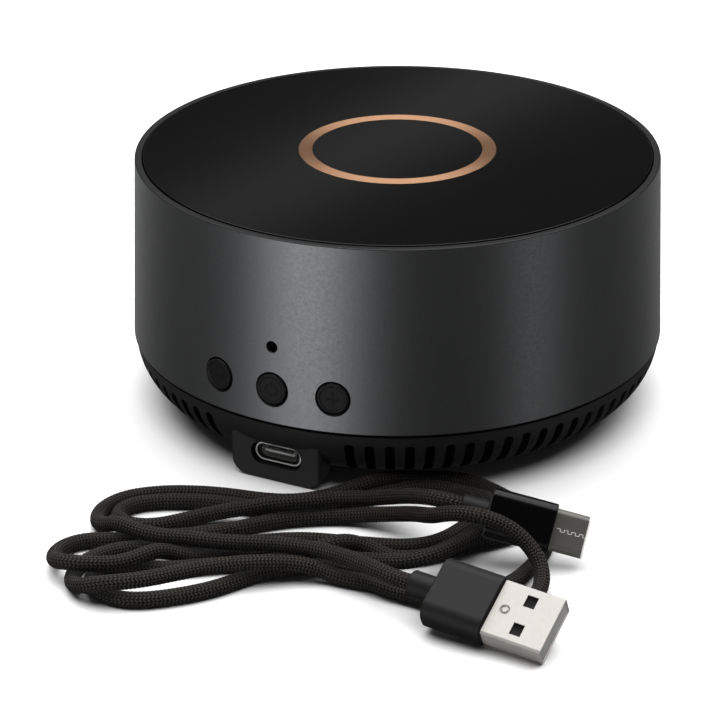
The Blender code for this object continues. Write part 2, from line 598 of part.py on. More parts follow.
def evenly(path, step):
    """Points an even step apart along a path."""
    run = np.concatenate([[0.0], np.cumsum(np.linalg.norm(np.diff(path, axis=0), axis=1))])
    count = int(round(run[-1] / step))
    places = np.linspace(0.0, run[-1], count + 1)
    return np.stack([np.interp(places, run, path[:, axis]) for axis in range(3)], axis=1)


def smooth_curve(points, step):
    """A natural cubic spline through the route's points."""
    points = np.asarray(points, float)
    count = len(points)
    chord = np.linalg.norm(np.diff(points, axis=0), axis=1)
    knots = np.concatenate([[0.0], np.cumsum(np.sqrt(chord))])
    width = np.diff(knots)
    system = np.eye(count)
    right = np.zeros((count, 3))
    for i in range(1, count - 1):
        system[i, i - 1:i + 2] = width[i - 1], 2 * (width[i - 1] + width[i]), width[i]
        right[i] = 6 * ((points[i + 1] - points[i]) / width[i]
                        - (points[i] - points[i - 1]) / width[i - 1])
    bend = np.linalg.solve(system, right)
    pieces = []
    for i in range(count - 1):
        at = np.linspace(knots[i], knots[i + 1], 60, endpoint=False)[:, None]
        a = (knots[i + 1] - at) / width[i]
        b = 1 - a
        pieces.append(a * points[i] + b * points[i + 1]
                      + ((a ** 3 - a) * bend[i] + (b ** 3 - b) * bend[i + 1]) * width[i] ** 2 / 6)
    return evenly(np.vstack(pieces + [points[-1:]]), step)


def settle(path, diameter, rounds=300, spare=0.4, fixed_ends=3):
    """Let the strands push each other apart until none passes through another."""
    place = path.copy()
    count = len(place)
    reach = diameter + spare
    neighbours = int(np.ceil(2.6 * diameter / CABLE_STEP))
    index = np.arange(count)
    one, two = np.where(index[None, :] - index[:, None] > neighbours)
    order = np.sign(place[one, 2] - place[two, 2])
    order[order == 0] = 1
    for _ in range(rounds):
        apart = place[one] - place[two]
        flat = np.hypot(apart[:, 0], apart[:, 1])
        close = np.where((flat < reach) & (np.abs(apart[:, 2]) < reach + 3.0))[0]
        apart, flat, above = apart[close], flat[close], order[close]
        distance = np.linalg.norm(apart, axis=1)
        swapped = np.sign(apart[:, 2]) != above
        touching = (distance < reach) | (swapped & (flat < reach * 0.8))
        close, apart, flat = close[touching], apart[touching], flat[touching]
        above, distance, swapped = above[touching], distance[touching], swapped[touching]
        way = apart.copy()
        way[swapped, 2] *= -1
        way[:, 2] += above * 0.6 * diameter * (1 - np.clip(flat / reach, 0, 1))
        way /= np.linalg.norm(way, axis=1)[:, None]
        amount = np.where(swapped, reach, np.maximum(reach - distance, 0)) * 0.35
        push = np.zeros_like(place)
        hits = np.zeros(count)
        np.add.at(push, one[close], way * amount[:, None] * 0.5)
        np.add.at(push, two[close], -way * amount[:, None] * 0.5)
        np.add.at(hits, one[close], 1)
        np.add.at(hits, two[close], 1)
        place += push / np.sqrt(np.maximum(hits, 1))[:, None]
        stiff = place.copy()
        stiff[2:-2] = (-place[:-4] + 4 * place[1:-3] + 10 * place[2:-2]
                       + 4 * place[3:-1] - place[4:]) / 16
        place = stiff + 0.012 * (path - stiff)
        place[:, 2] = np.maximum(place[:, 2], diameter / 2)
        place[:fixed_ends] = path[:fixed_ends]
        place[-fixed_ends:] = path[-fixed_ends:]
    return place


def fewer_points(path, tolerance, longest):
    """Keep as few points as hold the path within the tolerance."""
    kept = [0]
    while kept[-1] < len(path) - 1:
        start = kept[-1]
        end = start + 1
        while end + 1 < len(path) and end + 1 - start <= longest:
            way = path[end + 1] - path[start]
            between = path[start:end + 2] - path[start]
            along = np.clip(between @ way / (way @ way), 0, 1)
            if np.linalg.norm(between - along[:, None] * way, axis=1).max() > tolerance:
                break
            end += 1
        kept.append(end)
    return path[kept]


def cable_path():
    """The cable's settled centreline in mm, from one collar to the other."""
    ends = []
    for plug in (PLUG_A, PLUG_C):
        place = plug_matrix(plug)
        start = plug["collar_back"] - GAP
        ends.append([list(place @ Vector((start, 0, 0))), list(place @ Vector((start - 3, 0, 0)))])
    points = ends[0] + CABLE_ROUTE + ends[1][::-1]
    return settle(smooth_curve(points, CABLE_STEP), CABLE_DIAMETER)


def make_cable():
    path = fewer_points(cable_path(), 0.6, 20)
    curve = bpy.data.curves.new("charge_cable", 'CURVE')
    curve.dimensions = '3D'
    curve.bevel_depth = TUBE_DIAMETER / 2 * MM
    curve.bevel_resolution = 2
    curve.use_fill_caps = True
    line = curve.splines.new('POLY')
    line.points.add(len(path) - 1)
    for point, place in zip(line.points, path):
        point.co = (*(place * MM), 1.0)
    made = bpy.data.objects.new("charge_cable", curve)
    PARTS.objects.link(made)
    curve.materials.append(MAT["braid"])


make_sleeve()
make_top()
make_base()
make_port()
make_housing()
make_screws()
make_driver()
make_buttons()
make_plugs()
make_cable()
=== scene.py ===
import json
from math import cos, hypot, pi, radians, sin, sqrt

import bmesh
import bpy
import numpy as np
from mathutils import Euler, Matrix, Vector


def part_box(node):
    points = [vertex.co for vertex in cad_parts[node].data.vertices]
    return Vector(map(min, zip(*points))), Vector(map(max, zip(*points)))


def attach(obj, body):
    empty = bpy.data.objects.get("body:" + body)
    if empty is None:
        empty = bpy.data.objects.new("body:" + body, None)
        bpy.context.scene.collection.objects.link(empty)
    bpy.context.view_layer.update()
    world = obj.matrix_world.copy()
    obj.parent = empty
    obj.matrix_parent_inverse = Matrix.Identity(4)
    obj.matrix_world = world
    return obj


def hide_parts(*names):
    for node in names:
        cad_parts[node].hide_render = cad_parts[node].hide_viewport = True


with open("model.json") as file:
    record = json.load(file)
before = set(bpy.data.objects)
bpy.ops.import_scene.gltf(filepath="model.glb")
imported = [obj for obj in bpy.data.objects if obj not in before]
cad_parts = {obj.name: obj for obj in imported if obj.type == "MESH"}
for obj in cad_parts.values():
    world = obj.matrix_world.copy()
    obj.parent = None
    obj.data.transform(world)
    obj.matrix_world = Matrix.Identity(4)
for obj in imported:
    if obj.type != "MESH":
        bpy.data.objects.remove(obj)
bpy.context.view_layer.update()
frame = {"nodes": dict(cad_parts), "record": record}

MM = 0.001
GAP = 0.3  # what the CAD leaves between neighbouring solids

# ---- sizes in mm that the CAD and the looks share; heights are read from the frame ----
SLEEVE_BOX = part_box("sleeve")
DISC_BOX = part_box("top_disc")
RING_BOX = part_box("copper_ring")
HEIGHT = SLEEVE_BOX[1][2] / MM
SEAM_Z = SLEEVE_BOX[0][2] / MM
SLEEVE_BOTTOM_R = SLEEVE_BOX[1][0] / MM
SLEEVE_TOP_R = 56.5
RIM_WIDTH = 1.5
RIM_DEPTH = 3.0
SLEEVE_WALL = 1.3
SLEEVE_ROUNDING = [0.28, 0.15, 0.0, 0.0, 0.08]
DISC_R = DISC_BOX[1][0] / MM
DISC_TOP = DISC_BOX[1][2] / MM
DISC_BOTTOM = DISC_BOX[0][2] / MM
DISC_EDGE = 0.15
RING_OUTER_R = RING_BOX[1][0] / MM
RING_INNER_R = 18.3
RING_TOP = RING_BOX[1][2] / MM
RING_EDGE = 0.12
GROOVE_DEPTH = 0.7  # the groove in the disc that the ring lies in
GROOVE_SIDE_GAP = 0.08
GROOVE_FLOOR_GAP = 0.02
BASE_BOTTOM = 2.7
BASE_BOTTOM_R = 47.8
BASE_BULGE = 10.05
BASE_CURVE_HEIGHT = 11.8
BASE_WALL = 2.0
BASE_FLOOR = 4.7  # top of the base's floor
BASE_LIP_R = 56.5  # the lip that stands up inside the sleeve
BASE_LEDGE_Z = 14.2
BASE_LEDGE = [(53.8, 12.4), (53.8, BASE_LEDGE_Z), (55.8, BASE_LEDGE_Z), (55.8, 16.0),
              (BASE_LIP_R, 16.0), (BASE_LIP_R, BASE_LEDGE_Z)]
SEAM_DROP = 0.55  # where the base's outer curve starts below the seam
SLOT_COUNT = 87
SLOTS_LEFT_OUT = 3
SLOT_WIDTH = 2.0
SLOT_TOP = 11.8
SLOT_LOW = 3.5  # a thin rim stays whole below the slots
SLOT_INNER_R = 44.5
SLOT_OUTER_R = 60.0
SLOT_TOP_ROUNDING = 0.82
PORT_FACE_Y = -56.2
PORT_BLOCK_BACK_Y = -52.2
PORT_BLOCK_X = (-10.6, 9.9)
PORT_BLOCK_Z = (0.2, 10.4)
PORT_BLOCK_BULGE = 0.4  # the right side reaches this far past the CAD's
PORT_BLOCK_SEEN = [2.5, 4.6, 4.2, 2.2]  # corners as seen from the front
PORT_BLOCK_PLAN = [0.7, 1.1, 0.0, 0.0]  # corners as seen from above
PORT_Z = 5.95
PORT_SHELL = (8.94, 3.26)
PORT_SHELL_WALL = 0.3
PORT_SHELL_DEPTH = 7.35
PORT_LIP = (10.8, 4.2)
PORT_LIP_WALL = 0.35
PORT_LIP_DEPTH = 1.0
PORT_LIP_FLOOR = 0.4
PORT_LIP_GAP = 0.5  # between the lip and the recess round it
PORT_RECESS = 1.0
CONTACTS_PER_ROW = 12
CONTACT_PITCH = 0.5
CONTACT_SIZE = (0.22, 3.6, 0.08)
BUTTON_Z = 22.1
BUTTON_ANGLES = {"minus": -12.8, "power": 0.3, "plus": 13.4}
BUTTON_HOLE_R = 3.55
BUTTON_R = 3.3
BUTTON_PROUD = 0.35
BUTTON_CHAMFER = 0.22
BUTTON_EDGE = 0.3
BUTTON_DISH = 0.12  # the face lies this far below the button's raised edge
BUTTON_FLANGE_R = 4.3
BUTTON_FLANGE_DEPTHS = (2.35, 3.05)
BUTTON_STEM_R = 1.2
BUTTON_STEM_END = 53.0  # from the speaker's axis
MARK_WIDTH = 0.5
MARK_HEIGHT = 0.1
MARK_SINK = 0.01
MIC_Z = 31.3
MIC_ANGLE = 0.3
MIC_HOLE_R = 1.15
MIC_CHAMFER = 0.16

CABLE_DIAMETER = 3.2
CABLE_STEP = 2.0
PLUG_A = {"at": (65.6, -92.1, 5.75), "turn": (30.0, 4.0, -2.0), "collar_back": -17.4}
PLUG_C = {"at": (64.0, -61.6, 7.4), "turn": (54.0, 12.0, 17.0), "collar_back": -18.2}
# Given points of the cable's route; a point with no height lies on the floor
CABLE_ROUTE = [
    # from the large plug to the left, on top of the bundle
    (41.5, -90.6, 7.2), (35.5, -88.4, 6.6), (28.5, -86.4, 5.8), (20, -86.5, 5.2),
    (12.5, -89, 5.2), (4.5, -92, 5), (-3.5, -94, 4.6), (-12, -94, 3),
    # round the left end and back towards the base
    (-19, -92, 1.7), (-23.5, -88), (-23.5, -82),
    (-18, -76), (-10.5, -71), (-1.5, -68), (7, -66.5),
    (13.5, -62), (18, -58, 1.8),
    # the outermost bend at the right, beside the base
    (22, -53.5, 2.4), (25, -48, 2), (30, -43), (36, -41),
    (41.5, -42), (47.5, -44.8), (54, -48.5), (60, -54.5),
    # under both plugs and back to the left along the front
    (62, -61.5), (62, -69), (61, -75.5), (57, -81),
    (51, -84), (42.5, -84),
    (31, -83), (22.5, -87), (18, -91.5), (15.5, -94.5),
    (13.5, -99), (9, -105), (3, -110.5), (-2.5, -113.5),
    # a tight left end, then to the right at the bottom of the bundle
    (-8.5, -112.8), (-11.8, -109), (-11, -104.6),
    (-5, -101.2), (6.5, -94), (18, -86.5), (28, -81), (37, -77),
    # a turn hidden beneath the small plug
    (42.5, -72.5), (46, -67.5), (49.5, -62.8), (53, -58.8),
    (55.3, -54.6), (54.3, -50.2), (50.3, -48.3), (46.2, -50.6),
    (44.4, -57), (42.8, -64.5), (40.5, -68.5), (35.5, -72),
    (27, -75), (19.5, -77), (12.5, -81), (5.5, -86.5),
    # the left end again, in front
    (-7, -94), (-12, -96.5), (-14.5, -101), (-16, -106.5),
    (-14, -111.5), (-9, -114, 2.6),
    # over the left end's strands, then the front strand, under the large plug
    (-3, -113.5, 4.6), (2, -108, 4.6), (9, -100.5, 4.8), (15, -96.5, 4.8),
    (20.5, -91.5, 3.8), (25.5, -87.5, 2.2), (30.5, -86), (37, -86),
    (43, -87), (50.5, -87.5), (57.5, -87), (63.5, -84.5),
    (67, -79.5), (67.2, -74.5, 2.2),
    # up and over the small plug's collar, and down to the left
    (65.5, -70.7, 4.6), (62, -69.4, 7.6), (58.5, -69.8, 10.4), (55, -71.3, 12.2),
    (50, -72.3, 12.6), (41.5, -69, 9.4), (33, -65.5, 5), (24, -65, 2.6),
    (17.5, -67, 1.8), (11.5, -71),
    (6.5, -76.5), (2, -82), (-5, -87.5), (-12.5, -92.5), (-19, -96),
    # the leftmost end, rising over the strands beside it
    (-22.5, -100), (-21.5, -106, 2.4), (-16, -111, 4.2), (-11, -109.5, 4.8),
    (-5.5, -105, 4.2), (-1.5, -98, 2.4), (4, -93), (12, -87.5),
    (22.5, -82.5), (31.5, -79.5),
    # up behind the large plug and round beneath the small plug's collar
    (39.5, -80, 3), (44.5, -77.5, 4.4), (47.5, -72, 4.8), (49.5, -66, 4.8), (50.5, -59.5, 4.6),
    (46.5, -53, 3.6), (40.5, -47.5, 2), (35, -46), (30, -47), (26, -49.5),
    (21.5, -54), (18, -59), (14, -64), (9, -68.5),
    # the inner bend at the left, then up to the small plug
    (1, -70.5), (-8, -72.6), (-16.5, -76), (-20.6, -80),
    (-20.4, -85.5), (-15.5, -88),
    (-9.5, -84.3), (-4.5, -78, 1.8), (2, -74.5, 3), (9.5, -72, 4.4),
    (17.5, -66.5, 4.6), (22, -63, 4.6), (27.3, -62.3, 5.7), (32.4, -63.4, 8), (38, -66.4, 10.4),
]


# ---- camera: the photograph's view ----

CAMERA_LENS = 124.285
CAMERA_SENSOR = 36.0
CAMERA_AT = (0.223164, -0.452169, 0.241513)
CAMERA_RIGHT = (0.890395, 0.455161, -0.005023)
CAMERA_UP = (-0.189829, 0.381333, 0.904737)
CAMERA_BACK = (0.413717, -0.804620, 0.425940)


def make_camera():
    data = bpy.data.cameras.new("camera")
    data.lens = CAMERA_LENS
    data.sensor_width = CAMERA_SENSOR
    data.clip_start = 0.01
    camera = bpy.data.objects.new("camera", data)
    bpy.context.scene.collection.objects.link(camera)
    turn = Matrix((CAMERA_RIGHT, CAMERA_UP, CAMERA_BACK)).transposed()
    camera.matrix_world = Matrix.Translation(CAMERA_AT) @ turn.to_4x4()
    bpy.context.scene.camera = camera


make_camera()


# ---- material building ----

class Nodes:
    """Helpers that write a node tree as formulas."""

    def __init__(self, tree):
        self.tree = tree

    def node(self, kind, **settings):
        made = self.tree.nodes.new(kind)
        for key, value in settings.items():
            if key in made.inputs:
                made.inputs[key].default_value = value
            else:
                setattr(made, key, value)
        return made

    def link(self, source, target):
        self.tree.links.new(source, target)

    def math(self, operation, *values):
        made = self.node("ShaderNodeMath", operation=operation)
        for number, value in enumerate(values):
            if isinstance(value, (int, float)):
                made.inputs[number].default_value = value
            else:
                self.link(value, made.inputs[number])
        return made.outputs[0]

    def map_range(self, value, from_range, to_range, **settings):
        made = self.node("ShaderNodeMapRange", **settings)
        for name, number in zip(("From Min", "From Max", "To Min", "To Max"),
                                (*from_range, *to_range)):
            made.inputs[name].default_value = number
        self.link(value, made.inputs["Value"])
        return made.outputs["Result"]


FINISHES = {}


class Finish(Nodes):
    """A Principled material in FINISHES; a colour given as one number is a grey."""

    def __init__(self, name, colour, roughness, metallic=0.0, **numbers):
        self.material = FINISHES[name] = bpy.data.materials.new(name)
        self.material.use_nodes = True
        super().__init__(self.material.node_tree)
        self.shader = self.tree.nodes["Principled BSDF"]
        self.colour = colour if hasattr(colour, "__len__") else (colour,) * 3
        self.put("Base Color", (*self.colour, 1.0))
        self.put("Roughness", roughness)
        self.put("Metallic", metallic)
        for socket, value in numbers.items():
            self.put(socket.replace("_", " "), value)

    def put(self, socket, value):
        self.shader.inputs[socket].default_value = value

    def place(self):
        return self.node("ShaderNodeTexCoord").outputs["Object"]

    def noise(self, scale, detail=3.0):
        made = self.node("ShaderNodeTexNoise", Scale=scale, Detail=detail)
        self.link(self.place(), made.inputs["Vector"])
        return made.outputs["Fac"]

    def spread(self, fac, low, high, from_low=0.3, from_high=0.7):
        return self.map_range(fac, (from_low, from_high), (low, high))

    def tint(self, fac, dark, light):
        """Colour between two shades of the base colour."""
        made = self.node("ShaderNodeMix", data_type='RGBA')
        made.inputs[6].default_value = (*[c * dark for c in self.colour], 1.0)
        made.inputs[7].default_value = (*[min(1.0, c * light) for c in self.colour], 1.0)
        self.link(fac, made.inputs[0])
        self.link(made.outputs[2], self.shader.inputs["Base Color"])

    def vary_roughness(self, fac, low, high):
        self.link(self.spread(fac, low, high), self.shader.inputs["Roughness"])

    def bump(self, height, strength, distance):
        made = self.node("ShaderNodeBump", Strength=strength, Distance=distance)
        self.link(height, made.inputs["Height"])
        self.link(made.outputs["Normal"], self.shader.inputs["Normal"])


def moulded(name, colour, roughness, grain=9000.0, depth=0.00002, **numbers):
    """Moulded plastic: a fine spark-eroded grain with slight changes of sheen."""
    finish = Finish(name, colour, roughness, **numbers)
    grains = finish.noise(grain, 4.0)
    finish.tint(finish.noise(400.0, 2.0), 0.85, 1.15)
    finish.vary_roughness(grains, roughness - 0.06, roughness + 0.06)
    finish.bump(grains, 0.5, depth)


def plated(name, colour, roughness, grain=6000.0, metallic=1.0):
    """Plated or painted metal with faint wear."""
    finish = Finish(name, colour, roughness, metallic)
    grains = finish.noise(grain, 3.0)
    finish.tint(finish.noise(900.0, 3.0), 0.92, 1.05)
    finish.vary_roughness(grains, max(0.03, roughness - 0.05), roughness + 0.05)
    finish.bump(grains, 0.25, 0.00001)


def anodised():
    """Satin gunmetal: fine blasted sparkle under a clear dark oxide."""
    finish = Finish("sleeve_aluminium", (0.30, 0.305, 0.315), 0.34, 1.0)
    sparkle = finish.noise(7000.0, 5.0)
    finish.tint(finish.spread(sparkle, 0.0, 1.0, 0.35, 0.65), 0.86, 1.14)
    finish.vary_roughness(finish.noise(1500.0, 3.0), 0.30, 0.38)
    finish.bump(sparkle, 0.35, 0.00002)


def gloss(name, colour, roughness):
    """Polished black plastic with hardly any waviness."""
    finish = Finish(name, colour, roughness)
    finish.tint(finish.noise(60.0, 2.0), 0.9, 1.1)
    finish.vary_roughness(finish.noise(3000.0, 3.0), roughness, roughness + 0.05)
    finish.bump(finish.noise(90.0, 2.0), 0.05, 0.00003)


def lathe_turned():
    """Rose gold with fine concentric turning marks."""
    finish = Finish("rose_gold", (1.0, 0.545, 0.32), 0.44, 1.0, Anisotropic=0.72,
                    Anisotropic_Rotation=0.25)
    place = finish.node("ShaderNodeSeparateXYZ")
    finish.link(finish.place(), place.inputs[0])
    square = [finish.math('MULTIPLY', side, side) for side in place.outputs[:2]]
    radius = finish.math('SQRT', finish.math('ADD', *square))
    grooves = finish.node("ShaderNodeTexNoise", noise_dimensions='1D', Scale=9000.0, Detail=3.0)
    finish.link(radius, grooves.inputs["W"])
    finish.tint(grooves.outputs["Fac"], 0.75, 1.1)
    finish.vary_roughness(grooves.outputs["Fac"], 0.36, 0.48)
    finish.bump(grooves.outputs["Fac"], 0.7, 0.00003)
    tangent = finish.node("ShaderNodeTangent", direction_type='RADIAL', axis='Z')
    finish.link(tangent.outputs[0], finish.shader.inputs["Tangent"])


def braided():
    """Black nylon braid: yarns zigzag round the cable, drawn from the tube's UVs, with painted
    highlights on the yarns' tops and painted shade between them.
    """
    finish = Finish("cable_braid", (0.011, 0.0098, 0.0088), 0.6, Specular_IOR_Level=0.35)
    place = finish.node("ShaderNodeUVMap", uv_map="braid")
    parts = finish.node("ShaderNodeSeparateXYZ")
    finish.link(place.outputs[0], parts.inputs[0])
    along, around = parts.outputs[0], parts.outputs[1]
    column = finish.math('MULTIPLY', around, 2.0)
    lean = finish.math('PINGPONG', column, 1.0)
    phase = finish.math('ADD', finish.math('MULTIPLY', along, 1.1),
                        finish.math('MULTIPLY', lean, 0.62))
    wave = finish.math('SINE', finish.math('MULTIPLY', phase, 2 * pi))
    between = finish.math('ABSOLUTE', finish.math('SINE', finish.math('MULTIPLY', column, pi)))
    yarn = finish.math('MULTIPLY', finish.spread(wave, 0.0, 1.0, -0.5, 0.9),
                       finish.spread(between, 0.0, 1.0, 0.15, 0.8))
    fuzz = finish.noise(9000.0, 3.0)
    # painted highlight on the yarns' tops and painted shade in the gaps between them, from a
    # quarter to five times the base colour
    finish.tint(finish.math('MULTIPLY', yarn, finish.spread(fuzz, 0.5, 1.5)), 0.25, 5.0)
    finish.vary_roughness(fuzz, 0.5, 0.7)
    finish.bump(finish.math('ADD', yarn, finish.math('MULTIPLY', fuzz, 0.3)), 1.0, 0.00014)


anodised()
# painted shade: a darker copy of the sleeve's metal for the rim's top, standing in for the dark
# surroundings that the rim reflects
plated("rim_painted_shade", (0.07, 0.071, 0.072), 0.42)
gloss("top_gloss", 0.003, 0.06)
lathe_turned()
moulded("base_plastic", 0.0132, 0.5)
moulded("grey_plastic", 0.06, 0.55)
moulded("button_plastic", (0.0072, 0.0072, 0.0075), 0.42, Specular_IOR_Level=0.4)
# painted shade: near-black, for faces deep in the base's slots and round the port, the port's
# lining and the large plug's core
moulded("painted_shade_black", 0.003, 0.6)
# painted light: the port's tongue is made pale so that it shows bright where the port shades it
moulded("tongue_painted_light", 0.65, 0.4)
moulded("mark_black", 0.006, 0.5)
moulded("rubber", 0.02, 0.8, grain=5000.0, depth=0.00004)
moulded("dust_mesh", 0.006, 0.9, grain=2500.0, depth=0.0002)
plated("bright_metal", (0.60, 0.59, 0.57), 0.28)
plated("dark_metal", 0.08, 0.4)
plated("screw_steel", (0.30, 0.30, 0.31), 0.35)
moulded("circuit_board", (0.015, 0.10, 0.04), 0.4)
moulded("battery_wrap", (0.08, 0.14, 0.34), 0.35)
moulded("paper_cone", 0.03, 0.85, grain=3000.0, depth=0.0001)
moulded("ferrite", 0.05, 0.7)
plated("coil_copper", (0.75, 0.38, 0.20), 0.3)
braided()
moulded("plug_plastic", (0.0105, 0.0105, 0.011), 0.5, grain=7000.0, Specular_IOR_Level=0.4)
gloss("plug_gloss", (0.0014, 0.0014, 0.0015), 0.2)
plated("plug_dark_metal", (0.18, 0.176, 0.16), 0.34, metallic=0.6)
# painted highlight: a pale metal lit mostly by diffuse light, so the edges of the port's lip and
# the small plug's seam and mouth show as bright lines
plated("metal_painted_highlight", (0.95, 0.94, 0.91), 0.3, metallic=0.25)
plated("plug_metal", (0.55, 0.525, 0.495), 0.36, metallic=0.55)
moulded("plug_front", (0.24, 0.24, 0.235), 0.45)
moulded("plug_tongue", 0.015, 0.4)


# ---- mesh helpers; sizes in mm ----

def link(name, mesh):
    made = bpy.data.objects.new(name, mesh)
    bpy.context.scene.collection.objects.link(made)
    return made


def wear(piece, body, slot, *nodes, finish=None):
    """Ride a piece on its body, give it its finish and hide the CAD nodes it stands for."""
    piece.data.materials.clear()
    piece.data.materials.append(FINISHES[finish or slot])
    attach(piece, body)
    if nodes:
        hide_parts(*nodes)
    return piece


SHARP_ANGLE = 35.0
FLAT_EDGE = 0.06  # a narrow strip beside each rounded corner keeps the face next to it flat


def mesh_from(bm, name):
    bmesh.ops.scale(bm, vec=(MM, MM, MM), verts=bm.verts)
    mesh = bpy.data.meshes.new(name)
    bm.to_mesh(mesh)
    bm.free()
    mesh.shade_smooth()
    mesh.set_sharp_from_angle(angle=radians(SHARP_ANGLE))
    return mesh


def rounded(profile, sizes, steps=4):
    """Round each corner of a closed (radius, height) outline by its own size."""
    points = [np.array(p, float) for p in profile]
    out = []
    for i, size in enumerate(sizes):
        here, before, after = points[i], points[i - 1], points[(i + 1) % len(points)]
        if size <= 0:
            out.append(tuple(here))
            continue
        to_before, to_after = before - here, after - here
        reach_b, reach_a = np.linalg.norm(to_before), np.linalg.norm(to_after)
        cut = min(size, 0.49 * reach_b, 0.49 * reach_a)
        start, end = here + to_before / reach_b * cut, here + to_after / reach_a * cut
        if reach_b > 3 * cut:
            out.append(tuple(start + to_before / reach_b * FLAT_EDGE))
        for k in range(steps + 1):
            t = k / steps
            out.append(tuple((1 - t) ** 2 * start + 2 * t * (1 - t) * here + t * t * end))
        if reach_a > 3 * cut:
            out.append(tuple(end + to_after / reach_a * FLAT_EDGE))
    return out


def lathe(name, profile, steps, closed=True):
    """Turn a (radius, height) outline about Z; an open one starts and ends on the axis."""
    bm = bmesh.new()
    columns = []
    for step in range(steps):
        angle = 2 * pi * step / steps
        columns.append([bm.verts.new((r * cos(angle), r * sin(angle), z)) if r > 0 else None
                        for r, z in profile])
    poles = {i: bm.verts.new((0, 0, z)) for i, (r, z) in enumerate(profile) if r <= 0}
    rows = range(len(profile) if closed else len(profile) - 1)
    for step in range(steps):
        here, there = columns[step], columns[(step + 1) % steps]
        for i in rows:
            j = (i + 1) % len(profile)
            corners = [here[i] or poles[i], here[j] or poles[j],
                       there[j] or poles[j], there[i] or poles[i]]
            bm.faces.new(dict.fromkeys(corners))
    bmesh.ops.recalc_face_normals(bm, faces=bm.faces)
    return link(name, mesh_from(bm, name))


def apply_modifiers(made):
    """Keep what the modifiers make and drop them."""
    graph = bpy.context.evaluated_depsgraph_get()
    mesh = bpy.data.meshes.new_from_object(made.evaluated_get(graph))
    made.modifiers.clear()
    made.data = mesh


def even_shading(made, sharp=30.0):
    """Smooth shading in which the large faces stay flat and only the small ones turn."""
    made.data.shade_smooth()
    made.data.set_sharp_from_angle(angle=radians(sharp))
    change = made.modifiers.new("even", 'WEIGHTED_NORMAL')
    change.keep_sharp = True
    change.weight = 100
    apply_modifiers(made)


def boolean(target, cutter, operation='DIFFERENCE'):
    change = target.modifiers.new(cutter.name, 'BOOLEAN')
    change.object = cutter
    change.operation = operation
    change.solver = 'EXACT'
    apply_modifiers(target)
    bpy.data.objects.remove(cutter, do_unlink=True)


def bar(name, x_range, width, height, corner, segments, offset=(0.0, 0.0), edge=0.0):
    """A bar along X with rounded long edges and, if edge is given, softened ends."""
    bm = bmesh.new()
    bmesh.ops.create_cube(bm, size=1.0)
    length = x_range[1] - x_range[0]
    bmesh.ops.scale(bm, vec=(length, width, height), verts=bm.verts)
    long_edges = [e for e in bm.edges if abs(e.verts[0].co.x - e.verts[1].co.x) > length / 2]
    bmesh.ops.bevel(bm, geom=long_edges, offset=corner, segments=segments,
                    profile=0.5, affect='EDGES')
    if edge:
        ends = [e for e in bm.edges if abs(e.verts[0].co.x - e.verts[1].co.x) < 1e-6]
        bmesh.ops.bevel(bm, geom=ends, offset=edge, segments=3, profile=0.5, affect='EDGES')
    middle = (sum(x_range) / 2, offset[0], offset[1])
    bmesh.ops.translate(bm, vec=middle, verts=bm.verts)
    return link(name, mesh_from(bm, name))


def outward(angle):
    """Horizontal unit direction; angle 0 faces -Y and positive angles turn towards +X."""
    return Vector((sin(radians(angle)), -cos(radians(angle)), 0.0))


def face_outward(made, angle, height, radius=0.0):
    """Move a piece that was made along Z so that its Z points out of the sleeve."""
    way = outward(angle)
    turn = way.to_track_quat('Z', 'Y').to_matrix().to_4x4()
    made.data.transform(Matrix.Translation(Vector((way.x * radius, way.y * radius, height)) * MM)
                        @ turn)


def sleeve_radius(z):
    part_way = (z - SEAM_Z) / (HEIGHT - SEAM_Z)
    return SLEEVE_BOTTOM_R + (SLEEVE_TOP_R - SLEEVE_BOTTOM_R) * part_way


def base_radius(z):
    drop = (SEAM_Z - z) / BASE_CURVE_HEIGHT
    return BASE_BOTTOM_R + BASE_BULGE * sqrt(max(0.0, 1.0 - drop * drop))


# ---- cable ----

def plug_matrix(plug):
    turn = Euler([radians(a) for a in plug["turn"]], 'XYZ').to_matrix().to_4x4()
    return Matrix.Translation(Vector(plug["at"])) @ turn


def evenly(path, step):
    """Points an even step apart along a path."""
    run = np.concatenate([[0.0], np.cumsum(np.linalg.norm(np.diff(path, axis=0), axis=1))])
    count = int(round(run[-1] / step))
    places = np.linspace(0.0, run[-1], count + 1)
    return np.stack([np.interp(places, run, path[:, axis]) for axis in range(3)], axis=1)


def smooth_curve(points, step):
    """A natural cubic spline through the route's points."""
    points = np.asarray(points, float)
    count = len(points)
    chord = np.linalg.norm(np.diff(points, axis=0), axis=1)
    knots = np.concatenate([[0.0], np.cumsum(np.sqrt(chord))])
    width = np.diff(knots)
    system = np.eye(count)
    right = np.zeros((count, 3))
    for i in range(1, count - 1):
        system[i, i - 1:i + 2] = width[i - 1], 2 * (width[i - 1] + width[i]), width[i]
        right[i] = 6 * ((points[i + 1] - points[i]) / width[i]
                        - (points[i] - points[i - 1]) / width[i - 1])
    bend = np.linalg.solve(system, right)
    pieces = []
    for i in range(count - 1):
        at = np.linspace(knots[i], knots[i + 1], 60, endpoint=False)[:, None]
        a = (knots[i + 1] - at) / width[i]
        b = 1 - a
        pieces.append(a * points[i] + b * points[i + 1]
                      + ((a ** 3 - a) * bend[i] + (b ** 3 - b) * bend[i + 1]) * width[i] ** 2 / 6)
    return evenly(np.vstack(pieces + [points[-1:]]), step)


